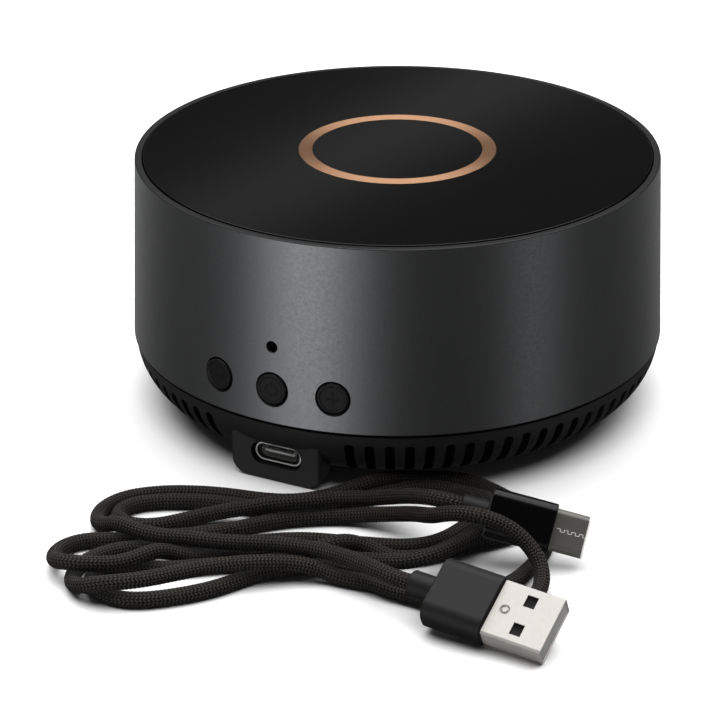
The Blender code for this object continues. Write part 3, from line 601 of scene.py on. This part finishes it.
def settle(path, diameter, rounds=300, spare=0.4, fixed_ends=3, lift=0.6, share=0.35,
           recall=0.012):
    """Let the strands push each other apart until none passes through another.

    Where two strands cross, the one that the route puts on top stays on top.  lift turns the
    push upwards, share is the part of an overlap undone in a round, and recall draws each
    strand back to its route.
    """
    place = path.copy()
    count = len(place)
    reach = diameter + spare
    neighbours = int(np.ceil(2.6 * diameter / CABLE_STEP))  # points that belong to one bend
    index = np.arange(count)
    one, two = np.where(index[None, :] - index[:, None] > neighbours)
    order = np.sign(place[one, 2] - place[two, 2])
    order[order == 0] = 1
    for _ in range(rounds):
        apart = place[one] - place[two]
        flat = np.hypot(apart[:, 0], apart[:, 1])
        close = np.where((flat < reach) & (np.abs(apart[:, 2]) < reach + 3.0))[0]
        apart, flat, above = apart[close], flat[close], order[close]
        distance = np.linalg.norm(apart, axis=1)
        swapped = np.sign(apart[:, 2]) != above
        touching = (distance < reach) | (swapped & (flat < reach * 0.8))
        close, apart, flat = close[touching], apart[touching], flat[touching]
        above, distance, swapped = above[touching], distance[touching], swapped[touching]
        way = apart.copy()
        way[swapped, 2] *= -1
        way[:, 2] += above * lift * diameter * (1 - np.clip(flat / reach, 0, 1))
        way /= np.linalg.norm(way, axis=1)[:, None]
        amount = np.where(swapped, reach, np.maximum(reach - distance, 0)) * share
        push = np.zeros_like(place)
        hits = np.zeros(count)
        np.add.at(push, one[close], way * amount[:, None] * 0.5)
        np.add.at(push, two[close], -way * amount[:, None] * 0.5)
        np.add.at(hits, one[close], 1)
        np.add.at(hits, two[close], 1)
        place += push / np.sqrt(np.maximum(hits, 1))[:, None]
        stiff = place.copy()
        stiff[2:-2] = (-place[:-4] + 4 * place[1:-3] + 10 * place[2:-2]
                       + 4 * place[3:-1] - place[4:]) / 16
        place = stiff + recall * (path - stiff)
        place[:, 2] = np.maximum(place[:, 2], diameter / 2)
        place[:fixed_ends] = path[:fixed_ends]
        place[-fixed_ends:] = path[-fixed_ends:]
    return place


def cable_path():
    """The cable's settled centreline in mm, from one collar to the other."""
    ends = []
    for plug in (PLUG_A, PLUG_C):
        place = plug_matrix(plug)
        start = plug["collar_back"] - GAP
        ends.append([list(place @ Vector((x, 0, 0))) for x in (start, start - 3)])
    route = [point if len(point) == 3 else (*point, CABLE_DIAMETER / 2) for point in CABLE_ROUTE]
    return settle(smooth_curve(ends[0] + route + ends[1][::-1], CABLE_STEP), CABLE_DIAMETER)


def braid_tube(name, path, diameter, carriers=16, pitch=6.4, sides=24, relief=0.1):
    """The cable's jacket: rings along the path with a slight helical ripple.

    The yarns themselves are drawn by the finish, from UVs that count them along and around.
    """
    count = len(path)
    ahead = np.gradient(path, axis=0)
    ahead /= np.linalg.norm(ahead, axis=1)[:, None]
    side = np.zeros_like(path)
    first = np.cross(ahead[0], (0, 0, 1.0))
    side[0] = first / np.linalg.norm(first)
    for i in range(1, count):
        turned = side[i - 1] - ahead[i] * (side[i - 1] @ ahead[i])
        side[i] = turned / np.linalg.norm(turned)
    rise = np.cross(ahead, side)
    run = np.concatenate([[0.0], np.cumsum(np.linalg.norm(np.diff(path, axis=0), axis=1))])
    angle = 2 * pi * np.arange(sides) / sides
    half = carriers / 2
    lumps = np.cos(2 * pi * half * run[:, None] / pitch + sides / 4 * angle[None, :])
    radius = diameter / 2 - relief / 2 + relief / 2 * lumps
    outwards = (np.cos(angle)[None, :, None] * side[:, None, :]
                + np.sin(angle)[None, :, None] * rise[:, None, :])
    points = path[:, None, :] + radius[:, :, None] * outwards
    points[:, :, 2] = np.maximum(points[:, :, 2], 0.02)
    ring = np.arange(sides)
    grid = []
    for i in range(count - 1):
        low, high = i * sides, (i + 1) * sides
        grid += np.stack([low + ring, low + (ring + 1) % sides, high + (ring + 1) % sides,
                          high + ring], axis=1).tolist()
    faces = grid + [list(range(sides))[::-1], list(range((count - 1) * sides, count * sides))]
    mesh = bpy.data.meshes.new(name)
    mesh.from_pydata((points.reshape(-1, 3) * MM).tolist(), [], faces)
    mesh.update()
    mesh.shade_smooth()
    layer = mesh.uv_layers.new(name="braid")
    loops = np.zeros(len(mesh.loops), int)
    mesh.loops.foreach_get("vertex_index", loops)
    along = run[loops // sides] / pitch * half
    around = (loops % sides) / sides * half
    seam = np.zeros(len(loops))
    quads = (count - 1) * sides
    corner = np.arange(quads * 4).reshape(-1, 4)
    last = np.arange(quads) % sides == sides - 1
    seam[corner[last][:, 1:3].ravel()] = half
    layer.data.foreach_set("uv", np.stack([along, around + seam], axis=1).ravel())
    return link(name, mesh)


def make_cable():
    path = cable_path()
    fine = smooth_curve(path, 0.25)
    cable = braid_tube("charge_cable_braid", fine, CABLE_DIAMETER)
    wear(cable, "charge_cable", "cable_braid", "charge_cable")
    length = float(np.linalg.norm(np.diff(fine, axis=0), axis=1).sum()) * MM
    start = plug_matrix(PLUG_A) @ Vector((PLUG_A["collar_back"], 0, 0))
    return cable, length, [c * MM for c in start], (fine[::4] * MM).tolist()


# Each plug is made pointing along +X, with the front of its housing at x = 0
A_HOUSING = ((-12.2, 0.0), 13.6, 7.2, 2.9)  # reach, width, height, corner
A_COLLAR = [(2.6, -12.5), (2.6, -17.4), (1.7, -17.4), (1.7, -12.5)]
A_SHELL_WIDTH = 12.0
A_SHELL_HEIGHT = 4.5
A_SHELL_END = 12.0
A_HOLLOW = (11.4, 3.9)
A_WINDOW_REACH = (5.1, 7.3)
A_WINDOW_WIDTH = 2.5
A_WINDOW_ACROSS = 3.05  # from the plug's axis to the middle of a window
A_DIMPLE = [(0.0, 2.12), (0.45, 2.16), (0.75, 1.98), (1.05, 2.28), (0.0, 2.6)]
A_DIMPLE_AT = 2.3
C_HOUSING = ((-12.8, 0.0), 9.9, 5.2, 2.2)
C_COLLAR = [(2.2, -13.1), (2.2, -18.2), (1.7, -18.2), (1.7, -13.1)]
C_SHELL = ((0.02, 6.65), 8.34, 2.56, 1.27)
C_HOLLOW = (7.64, 1.86, 0.92)
C_MOUTH = ((6.35, 6.7), 8.38, 2.6, 1.29)
C_MOUTH_HOLLOW = (7.7, 1.92, 0.95)
C_SEAM_TOP = 1.29


def fit(piece, plug, slot, *nodes, finish=None):
    """Move a piece made in its plug's own frame to where the plug lies, and dress it."""
    place = plug_matrix(plug)
    place.translation = place.translation * MM
    piece.data.transform(place)
    return wear(piece, "charge_cable", slot, *nodes, finish=finish)


def collar(name, profile, back_edge):
    """The strain relief where the cable enters a plug."""
    made = lathe(name, rounded(profile, [0.1, back_edge, 0.1, 0.1]), 48)
    made.data.transform(Matrix.Rotation(pi / 2, 4, 'Y'))
    return made


def make_plug_a():
    """The large plug: overmould, collar, shell with its latch windows, and insulator; the core is
    dark plastic made darker still as painted shade for the hollow behind the windows.
    """
    housing = bar("plug_a_housing", *A_HOUSING, segments=12, edge=0.35)
    even_shading(housing)
    relief = collar("plug_a_collar", A_COLLAR, 0.5)
    shell = bar("plug_a_shell", (0.02, A_SHELL_END), A_SHELL_WIDTH, A_SHELL_HEIGHT, 0.5,
                segments=5)
    boolean(shell, bar("inside", (1.0, A_SHELL_END + 1.0), *A_HOLLOW, 0.25, segments=3))
    for side in (-1, 1):
        for height in (2.2, -2.2):
            boolean(shell, bar("window", A_WINDOW_REACH, A_WINDOW_WIDTH, 3.0, 0.15, segments=2,
                               offset=(A_WINDOW_ACROSS * side, height)))
    dimple = lathe("dimple", A_DIMPLE, 40, closed=False)
    dimple.data.transform(Matrix.Translation((A_DIMPLE_AT * MM, 0.0, 0.0)))
    boolean(shell, dimple)
    even_shading(shell)
    core = bar("plug_a_core", (1.1, 11.6), 11.3, 3.8, 0.25, segments=3)
    for side in (-1, 1):
        boolean(core, bar("pocket", (5.0, 7.4), 2.7, 1.6, 0.15, segments=2,
                          offset=(A_WINDOW_ACROSS * side, 1.9)))
    front = bar("plug_a_front", (11.62, 11.86), 11.26, 3.76, 0.25, segments=3, edge=0.05)
    tongue = bar("plug_a_tongue", (1.4, 11.2), 10.7, 1.8, 0.15, segments=2, offset=(0.0, -0.75))
    return [
        fit(housing, PLUG_A, "plug_plastic", "usb_a_housing"),
        fit(relief, PLUG_A, "plug_plastic", "usb_a_collar"),
        fit(shell, PLUG_A, "bright_metal", "usb_a_shell", finish="plug_metal"),
        # the core stands for dark plastic; its finish, darker than that plastic, is painted shade
        # for the hollow behind the windows
        fit(core, PLUG_A, "plug_tongue", finish="painted_shade_black"),
        fit(front, PLUG_A, "plug_tongue", finish="plug_front"),
        fit(tongue, PLUG_A, "plug_tongue", "usb_a_tongue"),
    ]


def seam_line(name, x_range, pitch, swing, height, width=0.11):
    """The stepped line where the small plug's rolled shell closes."""
    bm = bmesh.new()

    def piece(x0, x1, y0, y1):
        made = bmesh.ops.create_cube(bm, size=1.0)["verts"]
        bmesh.ops.scale(bm, vec=(x1 - x0 + width, y1 - y0 + width, 0.06), verts=made)
        bmesh.ops.translate(bm, vec=((x0 + x1) / 2, (y0 + y1) / 2, height), verts=made)

    step, side = x_range[0], 1
    while step < x_range[1]:
        piece(step, step + pitch, side * swing / 2, side * swing / 2)
        step += pitch
        if step < x_range[1]:
            piece(step, step, -swing / 2, swing / 2)
        side = -side
    return link(name, mesh_from(bm, name))


def make_plug_c():
    """The small plug: gloss overmould, collar, rolled shell, its seam and its mouth, with the seam
    and mouth pale as a painted highlight.
    """
    housing = bar("plug_c_housing", *C_HOUSING, segments=12, edge=0.3)
    even_shading(housing)
    relief = collar("plug_c_collar", C_COLLAR, 0.3)
    shell = bar("plug_c_shell", *C_SHELL, segments=10)
    boolean(shell, bar("inside", (0.8, 7.5), *C_HOLLOW, segments=8))
    even_shading(shell)
    seam = seam_line("plug_c_seam", (0.7, 6.0), 0.74, 0.5, C_SEAM_TOP)
    mouth = bar("plug_c_mouth", *C_MOUTH, segments=10, edge=0.06)
    boolean(mouth, bar("inside", (6.0, 7.5), *C_MOUTH_HOLLOW, segments=8))
    even_shading(mouth)
    return [
        fit(housing, PLUG_C, "plug_gloss", "usb_c_plug_housing"),
        fit(relief, PLUG_C, "plug_plastic", "usb_c_plug_collar"),
        fit(shell, PLUG_C, "plug_dark_metal", "usb_c_plug_shell"),
        # the seam and the mouth are part of the metal shell; their pale finish is painted
        # highlight
        fit(seam, PLUG_C, "bright_metal", finish="metal_painted_highlight"),
        fit(mouth, PLUG_C, "bright_metal", finish="metal_painted_highlight"),
    ]


cable, cable_length, cable_exit, cable_line = make_cable()
plug_pieces = make_plug_a() + make_plug_c()
for piece in [cable] + plug_pieces:
    piece.visible_glossy = False


# ---- sleeve, disc and ring ----

DRILL_FLARE = 2.0  # how far the drill's cone reaches out past the chamfer
DRILL_END_R = 50.0


def drill(name, sleeve, radius, angle, height, chamfer, sides):
    """A radial hole with a small chamfer round its mouth."""
    wall = sleeve_radius(height)
    sag = wall - sqrt(wall ** 2 - radius ** 2)
    mouth = wall - chamfer - sag / 2
    hole = lathe(name, [(0.0, mouth + DRILL_FLARE), (radius + DRILL_FLARE, mouth + DRILL_FLARE),
                        (radius, mouth), (radius, DRILL_END_R), (0.0, DRILL_END_R)],
                 sides, closed=False)
    face_outward(hole, angle, height)
    boolean(sleeve, hole)


def paint_faces(piece, finish, chosen):
    """Give a second finish to the faces that the test picks."""
    piece.data.materials.append(FINISHES[finish])
    for face in piece.data.polygons:
        if chosen(face):
            face.material_index = 1


def make_sleeve():
    rim_inner = SLEEVE_TOP_R - RIM_WIDTH
    profile = rounded([(SLEEVE_TOP_R, HEIGHT), (SLEEVE_BOTTOM_R, SEAM_Z),
                       (SLEEVE_BOTTOM_R - SLEEVE_WALL, SEAM_Z), (rim_inner, HEIGHT - RIM_DEPTH),
                       (rim_inner, HEIGHT)], SLEEVE_ROUNDING)
    sleeve = lathe("sleeve_shell", profile, 360)
    for name, angle in BUTTON_ANGLES.items():
        drill("hole_" + name, sleeve, BUTTON_HOLE_R, angle, BUTTON_Z, BUTTON_CHAMFER, 96)
    drill("hole_mic", sleeve, MIC_HOLE_R, MIC_ANGLE, MIC_Z, MIC_CHAMFER, 48)
    even_shading(sleeve)
    wear(sleeve, "speaker", "sleeve_aluminium", "sleeve")
    # The rim's upward faces take the darker finish: painted shade for their dark reflection
    paint_faces(sleeve, "rim_painted_shade",
                lambda face: face.normal.z > 0.75 and face.center.z / MM > HEIGHT - 0.5)


def make_top():
    inner, outer = RING_INNER_R - GROOVE_SIDE_GAP, RING_OUTER_R + GROOVE_SIDE_GAP
    floor = DISC_TOP - GROOVE_DEPTH
    profile = [(0.0, DISC_TOP), (inner, DISC_TOP), (inner, floor), (outer, floor),
               (outer, DISC_TOP), (DISC_R - DISC_EDGE - FLAT_EDGE, DISC_TOP)]
    edge = [(DISC_R - DISC_EDGE + DISC_EDGE * sin(t * pi / 8),
             DISC_TOP - DISC_EDGE + DISC_EDGE * cos(t * pi / 8)) for t in range(5)]
    disc = lathe("disc_gloss", profile + edge + [(DISC_R, DISC_BOTTOM), (0.0, DISC_BOTTOM)],
                 256, closed=False)
    wear(disc, "speaker", "top_gloss", "top_disc")
    low = floor + GROOVE_FLOOR_GAP
    ring = lathe("ring_rose_gold", rounded([(RING_OUTER_R, RING_TOP), (RING_OUTER_R, low),
                                            (RING_INNER_R, low), (RING_INNER_R, RING_TOP)],
                                           [RING_EDGE, 0.0, 0.0, RING_EDGE]), 256)
    wear(ring, "speaker", "rose_gold", "copper_ring")


# ---- base ----

def slot_cutters():
    """One round-topped bar for each slot, all in one mesh."""
    bm = bmesh.new()
    bmesh.ops.create_cube(bm, size=1.0)
    depth = SLOT_OUTER_R - SLOT_INNER_R
    bmesh.ops.scale(bm, vec=(SLOT_WIDTH, depth, SLOT_TOP - SLOT_LOW), verts=bm.verts)
    top_edges = [e for e in bm.edges if min(v.co.z for v in e.verts) > 0
                 and abs(e.verts[0].co.y - e.verts[1].co.y) > 1]
    bmesh.ops.bevel(bm, geom=top_edges, offset=SLOT_TOP_ROUNDING, segments=5, profile=0.5,
                    affect='EDGES')
    bmesh.ops.translate(bm, vec=(0.0, -(SLOT_INNER_R + depth / 2), (SLOT_TOP + SLOT_LOW) / 2),
                        verts=bm.verts)
    first = bm.verts[:] + bm.edges[:] + bm.faces[:]
    for place in range(SLOTS_LEFT_OUT + 1, SLOT_COUNT - SLOTS_LEFT_OUT):
        copied = bmesh.ops.duplicate(bm, geom=first)
        verts = [item for item in copied["geom"] if isinstance(item, bmesh.types.BMVert)]
        turn = Matrix.Rotation(2 * pi * place / SLOT_COUNT, 3, 'Z')
        bmesh.ops.rotate(bm, cent=(0, 0, 0), matrix=turn, verts=verts)
    bmesh.ops.delete(bm, geom=[item for item in first if isinstance(item, bmesh.types.BMVert)],
                     context='VERTS')
    return link("slots", mesh_from(bm, "slots"))


def port_bar(name, y_range, x_range, z_range, corner, **extra):
    """A bar along Y with rounded corners as seen from the front."""
    made = bar(name, y_range, x_range[1] - x_range[0], z_range[1] - z_range[0], corner,
               offset=(-sum(x_range) / 2, sum(z_range) / 2), **extra)
    made.data.transform(Matrix.Rotation(pi / 2, 4, 'Z'))
    return made


def stadium(name, y_range, width, height, **extra):
    """A round-ended bar along Y, centred on the port's axis."""
    return port_bar(name, y_range, (-width / 2, width / 2),
                    (PORT_Z - height / 2, PORT_Z + height / 2), height / 2 - 0.02,
                    segments=14, **extra)


def prism(name, outline, low, high, along):
    """Push a closed outline along Y or Z; the outline is (x, z) or (x, y)."""
    bm = bmesh.new()
    place = (lambda a, b, c: (a, c, b)) if along == 'Y' else (lambda a, b, c: (a, b, c))
    first = [bm.verts.new(place(a, b, low)) for a, b in outline]
    second = [bm.verts.new(place(a, b, high)) for a, b in outline]
    bm.faces.new(first)
    bm.faces.new(second[::-1])
    for i in range(len(outline)):
        j = (i + 1) % len(outline)
        bm.faces.new((first[j], first[i], second[i], second[j]))
    bmesh.ops.recalc_face_normals(bm, faces=bm.faces)
    return link(name, mesh_from(bm, name))


def port_block():
    """The block round the port: its front outline meets its outline from above."""
    left, right = PORT_BLOCK_X[0], PORT_BLOCK_X[1] + PORT_BLOCK_BULGE
    low, high = PORT_BLOCK_Z
    seen = rounded([(left, high), (left, low), (right, low), (right, high)],
                   PORT_BLOCK_SEEN, steps=12)
    plan = rounded([(left, PORT_FACE_Y), (right, PORT_FACE_Y), (right, PORT_BLOCK_BACK_Y),
                    (left, PORT_BLOCK_BACK_Y)], PORT_BLOCK_PLAN, steps=8)
    block = prism("block", seen, PORT_FACE_Y - 1.0, PORT_BLOCK_BACK_Y, 'Y')
    boolean(block, prism("plan", plan, -1.0, 12.0, 'Z'), 'INTERSECT')
    soften(block, 0.3, 30.0)
    return block


def soften(made, width, angle):
    change = made.modifiers.new("soften", 'BEVEL')
    change.width = width * MM
    change.segments = 3
    change.limit_method = 'ANGLE'
    change.angle_limit = radians(angle)
    change.use_clamp_overlap = True
    apply_modifiers(made)


def deep_in_base(face):
    """Faces inside the slots and inside the port's hole, which hardly any light reaches; they are
    given painted shade.
    """
    x, y, z = face.center / MM
    if not SLOT_LOW - 0.1 < z < SLOT_TOP + 0.1:
        return False
    if abs(x) < 12 and y < 0:
        return (abs(x) < PORT_LIP[0] / 2 + 0.6 and PORT_FACE_Y + 0.05 < y < -45
                and abs(z - PORT_Z) < 2.8)
    return SLOT_INNER_R - 0.1 < hypot(x, y) < base_radius(z) - 0.15


def make_base():
    steps = 20
    curve = [(BASE_BOTTOM_R + BASE_BULGE * cos(i / steps * pi / 2),
              SEAM_Z - BASE_CURVE_HEIGHT * sin(i / steps * pi / 2)) for i in range(steps + 1)]
    top = SEAM_Z - SEAM_DROP
    outer_curve = [(BASE_LIP_R + 0.4, SEAM_Z - 0.3), (base_radius(top) - 0.25, top + 0.06),
                   (base_radius(top - 0.15), top - 0.15)]
    outer_curve += [(r, z) for r, z in curve if z < top - 0.3]
    inner_curve = [(base_radius(z) - BASE_WALL, z) for z in (BASE_FLOOR, 7.0, 9.5)]
    profile = ([(0.0, BASE_FLOOR)] + inner_curve + BASE_LEDGE + outer_curve
               + [(0.0, BASE_BOTTOM)])
    base = lathe("base_moulding", profile, 348, closed=False)
    boolean(base, slot_cutters())
    boolean(base, port_block(), 'UNION')
    recess_end = PORT_FACE_Y + PORT_RECESS + PORT_LIP_DEPTH + GAP
    boolean(base, stadium("port_recess", (-60.0, recess_end),
                          *[side + 2 * PORT_LIP_GAP for side in PORT_LIP]))
    boolean(base, stadium("port_hole", (-60.0, -45.0), *[side + 0.7 for side in PORT_SHELL]))
    even_shading(base, 33.0)
    wear(base, "speaker", "base_plastic", "base_shell")
    # the faces deep in the slots and round the port take the near-black finish: painted shade
    paint_faces(base, "painted_shade_black", deep_in_base)


def make_port():
    front = PORT_FACE_Y + PORT_RECESS
    back = front + PORT_SHELL_DEPTH
    lip_floor = front + PORT_LIP_DEPTH - PORT_LIP_FLOOR
    lip_hollow = [side - 2 * PORT_LIP_WALL for side in PORT_LIP]
    shell_hollow = [side - 2 * PORT_SHELL_WALL for side in PORT_SHELL]
    shell = stadium("port_shell", (lip_floor, back), *PORT_SHELL)
    lip = stadium("lip", (front, front + PORT_LIP_DEPTH), *PORT_LIP, edge=0.15)
    boolean(shell, lip, 'UNION')
    boolean(shell, stadium("lip_hollow", (front - 1.0, lip_floor), *lip_hollow))
    boolean(shell, stadium("shell_hollow", (front - 1.0, back - 0.4), *shell_hollow))
    even_shading(shell)
    # the port's shell and lip take the pale finish: painted highlight along the lip
    wear(shell, "speaker", "bright_metal", "usb_c_shell", finish="metal_painted_highlight")
    # the lining stands for base plastic; its near-black finish is painted shade for the inside of
    # the port's mouth
    lining = stadium("port_lining", (front + 0.12, lip_floor - 0.02),
                     *[side - 0.02 for side in lip_hollow])
    boolean(lining, stadium("lining_hollow", (front - 1.0, lip_floor - 0.15),
                            *[side - 0.5 for side in lip_hollow]))
    boolean(lining, stadium("lining_hole", (front - 1.0, back), *shell_hollow))
    wear(lining, "speaker", "base_plastic", finish="painted_shade_black")
    # the tongue is grey plastic; its far paler finish is painted light
    tongue = port_bar("port_tongue", (front + 0.7, back - 0.7), (-3.5, 3.5),
                      (PORT_Z - 0.3, PORT_Z + 0.3), 0.25, segments=4, edge=0.1)
    wear(tongue, "speaker", "grey_plastic", "usb_c_tongue", finish="tongue_painted_light")
    bm = bmesh.new()
    for height in (PORT_Z - 0.31, PORT_Z + 0.31):
        for place in range(CONTACTS_PER_ROW):
            made = bmesh.ops.create_cube(bm, size=1.0)["verts"]
            across = (place - (CONTACTS_PER_ROW - 1) / 2) * CONTACT_PITCH
            bmesh.ops.scale(bm, vec=CONTACT_SIZE, verts=made)
            bmesh.ops.translate(bm, vec=(across, front + 2.5, height), verts=made)
    contacts = link("port_contacts", mesh_from(bm, "port_contacts"))
    wear(contacts, "speaker", "bright_metal", finish="dark_metal")


# ---- buttons ----

# Cross-section of a raised symbol: across and up, as shares of its half width and its height
RIB_SECTION = ((-1.0, 0.0), (-0.6, 0.75), (0.0, 1.0), (0.6, 0.75), (1.0, 0.0))


def strip(points, width, height, low):
    """A raised rounded rib that follows points on a button's face."""
    bm = bmesh.new()
    last = len(points) - 1
    rows = []
    for i, point in enumerate(points):
        ahead = Vector(points[min(i + 1, last)]) - Vector(points[max(i - 1, 0)])
        ahead.normalize()
        side = Vector((-ahead.y, ahead.x))
        row = []
        for across, up in RIB_SECTION:
            spot = Vector(point) + side * across * width / 2
            row.append(bm.verts.new((spot.x, spot.y, low + up * height)))
        rows.append(row)
    for row, other in zip(rows, rows[1:]):
        for k in range(4):
            bm.faces.new((row[k], row[k + 1], other[k + 1], other[k]))
        bm.faces.new((row[4], row[0], other[0], other[4]))
    bm.faces.new(rows[0])
    bm.faces.new(rows[-1][::-1])
    bmesh.ops.recalc_face_normals(bm, faces=bm.faces)
    return bm


def arc(radius, start, end, steps):
    return [(radius * sin(radians(start + (end - start) * k / steps)),
             radius * cos(radians(start + (end - start) * k / steps))) for k in range(steps + 1)]


SYMBOLS = {
    "minus": [[(-1.3, 0.0), (1.3, 0.0)]],
    "power": [arc(1.25, 40.0, 320.0, 30), [(0.0, 0.5), (0.0, 1.75)]],
    "plus": [[(-1.4, 0.0), (1.4, 0.0)], [(0.0, -1.4), (0.0, 1.4)]],
}


def make_buttons():
    face = sleeve_radius(BUTTON_Z) + BUTTON_PROUD
    near, far = BUTTON_FLANGE_DEPTHS
    edge = [(BUTTON_R - BUTTON_EDGE + BUTTON_EDGE * sin(t * pi / 10),
             -BUTTON_EDGE + BUTTON_EDGE * cos(t * pi / 10)) for t in range(6)]
    brow = [(BUTTON_R - 0.75, -BUTTON_DISH), (BUTTON_R - 0.62, -0.02), (BUTTON_R - 0.5, 0.0)]
    back = [(BUTTON_R, -near), (BUTTON_FLANGE_R, -near), (BUTTON_FLANGE_R, -far),
            (BUTTON_STEM_R, -far), (BUTTON_STEM_R, BUTTON_STEM_END - face),
            (0.0, BUTTON_STEM_END - face)]
    for name, angle in BUTTON_ANGLES.items():
        cap = lathe("cap_" + name, [(0.0, -BUTTON_DISH)] + brow + edge + back, 96, closed=False)
        pieces = [cap]
        for number, points in enumerate(SYMBOLS[name]):
            bm = strip(points, MARK_WIDTH, MARK_HEIGHT, -BUTTON_DISH - MARK_SINK)
            pieces.append(link("mark_%s_%d" % (name, number), mesh_from(bm, "mark")))
        for piece in pieces:
            face_outward(piece, angle, BUTTON_Z, face)
            if piece is cap:
                wear(piece, "button_" + name, "button_plastic", "button_" + name)
            else:
                wear(piece, "button_" + name, "button_plastic", finish="mark_black")


make_sleeve()
make_top()
make_base()
make_port()
make_buttons()

slots = {part["node"]: part["material_slot"] for part in frame["record"]["subparts"]}
for name, made in frame["nodes"].items():
    made.data.materials.clear()
    made.data.materials.append(FINISHES[slots[name]])


# ---- floor, light and surroundings ----

def make_floor():
    bm = bmesh.new()
    bmesh.ops.create_grid(bm, x_segments=1, y_segments=1, size=4.0)
    mesh = bpy.data.meshes.new("floor")
    bm.to_mesh(mesh)
    bm.free()
    floor = link("floor", mesh)
    finish = Finish("floor_white", 0.86, 0.9, Specular_IOR_Level=0.0)
    mesh.materials.append(finish.material)
    floor.visible_glossy = False


# A very wide sun stands for a large soft box high behind the object
SUN_STRENGTH = 5.0
SUN_SPREAD = 96.0
SUN_FROM = (-0.12, 0.32, 1.0)

# Soft boxes round the object, low down: azimuth and spread in degrees, brightness
BANDS = [(-12.0, 13.0, 1.22), (-50.0, 14.0, 0.05), (86.0, 7.0, 0.33), (210.0, 30.0, 0.40)]
BAND_TOP = 13.0  # elevation at which the low boxes have faded out
LOW_AMBIENT = 0.078
HIGH_AMBIENT = 0.022
# Below the horizon the light sinks to this share, between these two elevations
FLOOR_SHARE = 0.1
FLOOR_FADE = (-38.0, -14.0)
# The overhead soft box: azimuth, elevation, where its edge fades in degrees from its middle
OVERHEAD = {"azimuth": 206.3, "elevation": 70.0, "fade": (42.0, 30.0), "brightness": 1.5}
# A slanted strip light that shows in the gloss disc as a soft diagonal band
STRIP_MIDDLE = Vector((-0.415, 0.841, 0.3475)).normalized()
STRIP_ACROSS = Vector((0.890, 0.455, 0.0)) * 0.4345 + Vector((0.158, -0.309, 0.9375)) * 0.9006
STRIP_WIDTH = 0.0095
STRIP_LENGTH = 0.3
STRIP_BRIGHTNESS = 0.17


def make_lights():
    data = bpy.data.lights.new("soft_sky", 'SUN')
    data.energy = SUN_STRENGTH
    data.angle = radians(SUN_SPREAD)
    sun = bpy.data.objects.new("soft_sky", data)
    bpy.context.scene.collection.objects.link(sun)
    sun.rotation_euler = Vector(SUN_FROM).to_track_quat('Z', 'Y').to_euler()
    sun.visible_glossy = False


class Surroundings(Nodes):
    """Helpers that write the surroundings' brightness as a formula."""

    def along(self, direction, vector):
        made = self.node("ShaderNodeVectorMath", operation='DOT_PRODUCT')
        self.link(direction, made.inputs[0])
        made.inputs[1].default_value = vector
        return made.outputs["Value"]

    def fade(self, value, zero_at, one_at, top=1.0):
        return self.map_range(value, (zero_at, one_at), (0.0, top),
                              interpolation_type='SMOOTHSTEP')


def make_world():
    world = bpy.data.worlds.new("studio")
    bpy.context.scene.world = world
    world.use_nodes = True
    world.node_tree.nodes.clear()
    sky = Surroundings(world.node_tree)
    direction = sky.node("ShaderNodeTexCoord").outputs["Generated"]
    height = sky.along(direction, (0.0, 0.0, 1.0))
    # the direction's horizontal length, kept just above zero
    level = sky.math('SQRT', sky.math('SUBTRACT', 1.0001, sky.math('MULTIPLY', height, height)))
    low = LOW_AMBIENT
    for azimuth, spread, brightness in BANDS:
        facing = sky.math('DIVIDE', sky.along(direction, outward(azimuth)), level)
        power = sky.math('MULTIPLY', sky.math('SUBTRACT', facing, 1.0),
                         1.0 / radians(spread) ** 2)
        glow = sky.math('MULTIPLY', sky.math('EXPONENT', power), brightness)
        low = sky.math('ADD', low, glow)
    sunk, level_again = (sin(radians(angle)) for angle in FLOOR_FADE)
    sink = sky.math('ADD', FLOOR_SHARE, sky.fade(height, sunk, level_again, 1 - FLOOR_SHARE))
    low = sky.math('MULTIPLY', low, sink)
    band_top = sin(radians(BAND_TOP))
    total = sky.math('MULTIPLY', low, sky.fade(height, band_top, 0.0))
    total = sky.math('ADD', total, sky.fade(height, 0.0, band_top, HIGH_AMBIENT))
    middle = outward(OVERHEAD["azimuth"]) * cos(radians(OVERHEAD["elevation"]))
    middle.z = sin(radians(OVERHEAD["elevation"]))
    edges = [cos(radians(angle)) for angle in OVERHEAD["fade"]]
    total = sky.math('ADD', total, sky.fade(sky.along(direction, middle), *edges,
                                            OVERHEAD["brightness"]))
    offset = sky.math('DIVIDE', sky.along(direction, STRIP_ACROSS), STRIP_WIDTH)
    across = sky.math('EXPONENT', sky.math('MULTIPLY', offset, sky.math('MULTIPLY', offset, -0.5)))
    nearness = sky.math('SUBTRACT', sky.along(direction, STRIP_MIDDLE), 1.0)
    lengthwise = sky.math('EXPONENT', sky.math('DIVIDE', nearness, STRIP_LENGTH ** 2))
    strip_light = sky.math('MULTIPLY', sky.math('MULTIPLY', across, lengthwise), STRIP_BRIGHTNESS)
    total = sky.math('ADD', total, strip_light)
    seen = sky.node("ShaderNodeLightPath").outputs["Is Camera Ray"]
    background = sky.node("ShaderNodeBackground")
    background.inputs["Color"].default_value = (1.0, 1.0, 1.0, 1.0)
    world.node_tree.links.new(sky.math('MAXIMUM', total, seen), background.inputs["Strength"])
    output = sky.node("ShaderNodeOutputWorld")
    world.node_tree.links.new(background.outputs[0], output.inputs[0])


make_floor()
make_lights()
make_world()
bpy.context.scene.view_settings.view_transform = 'Standard'
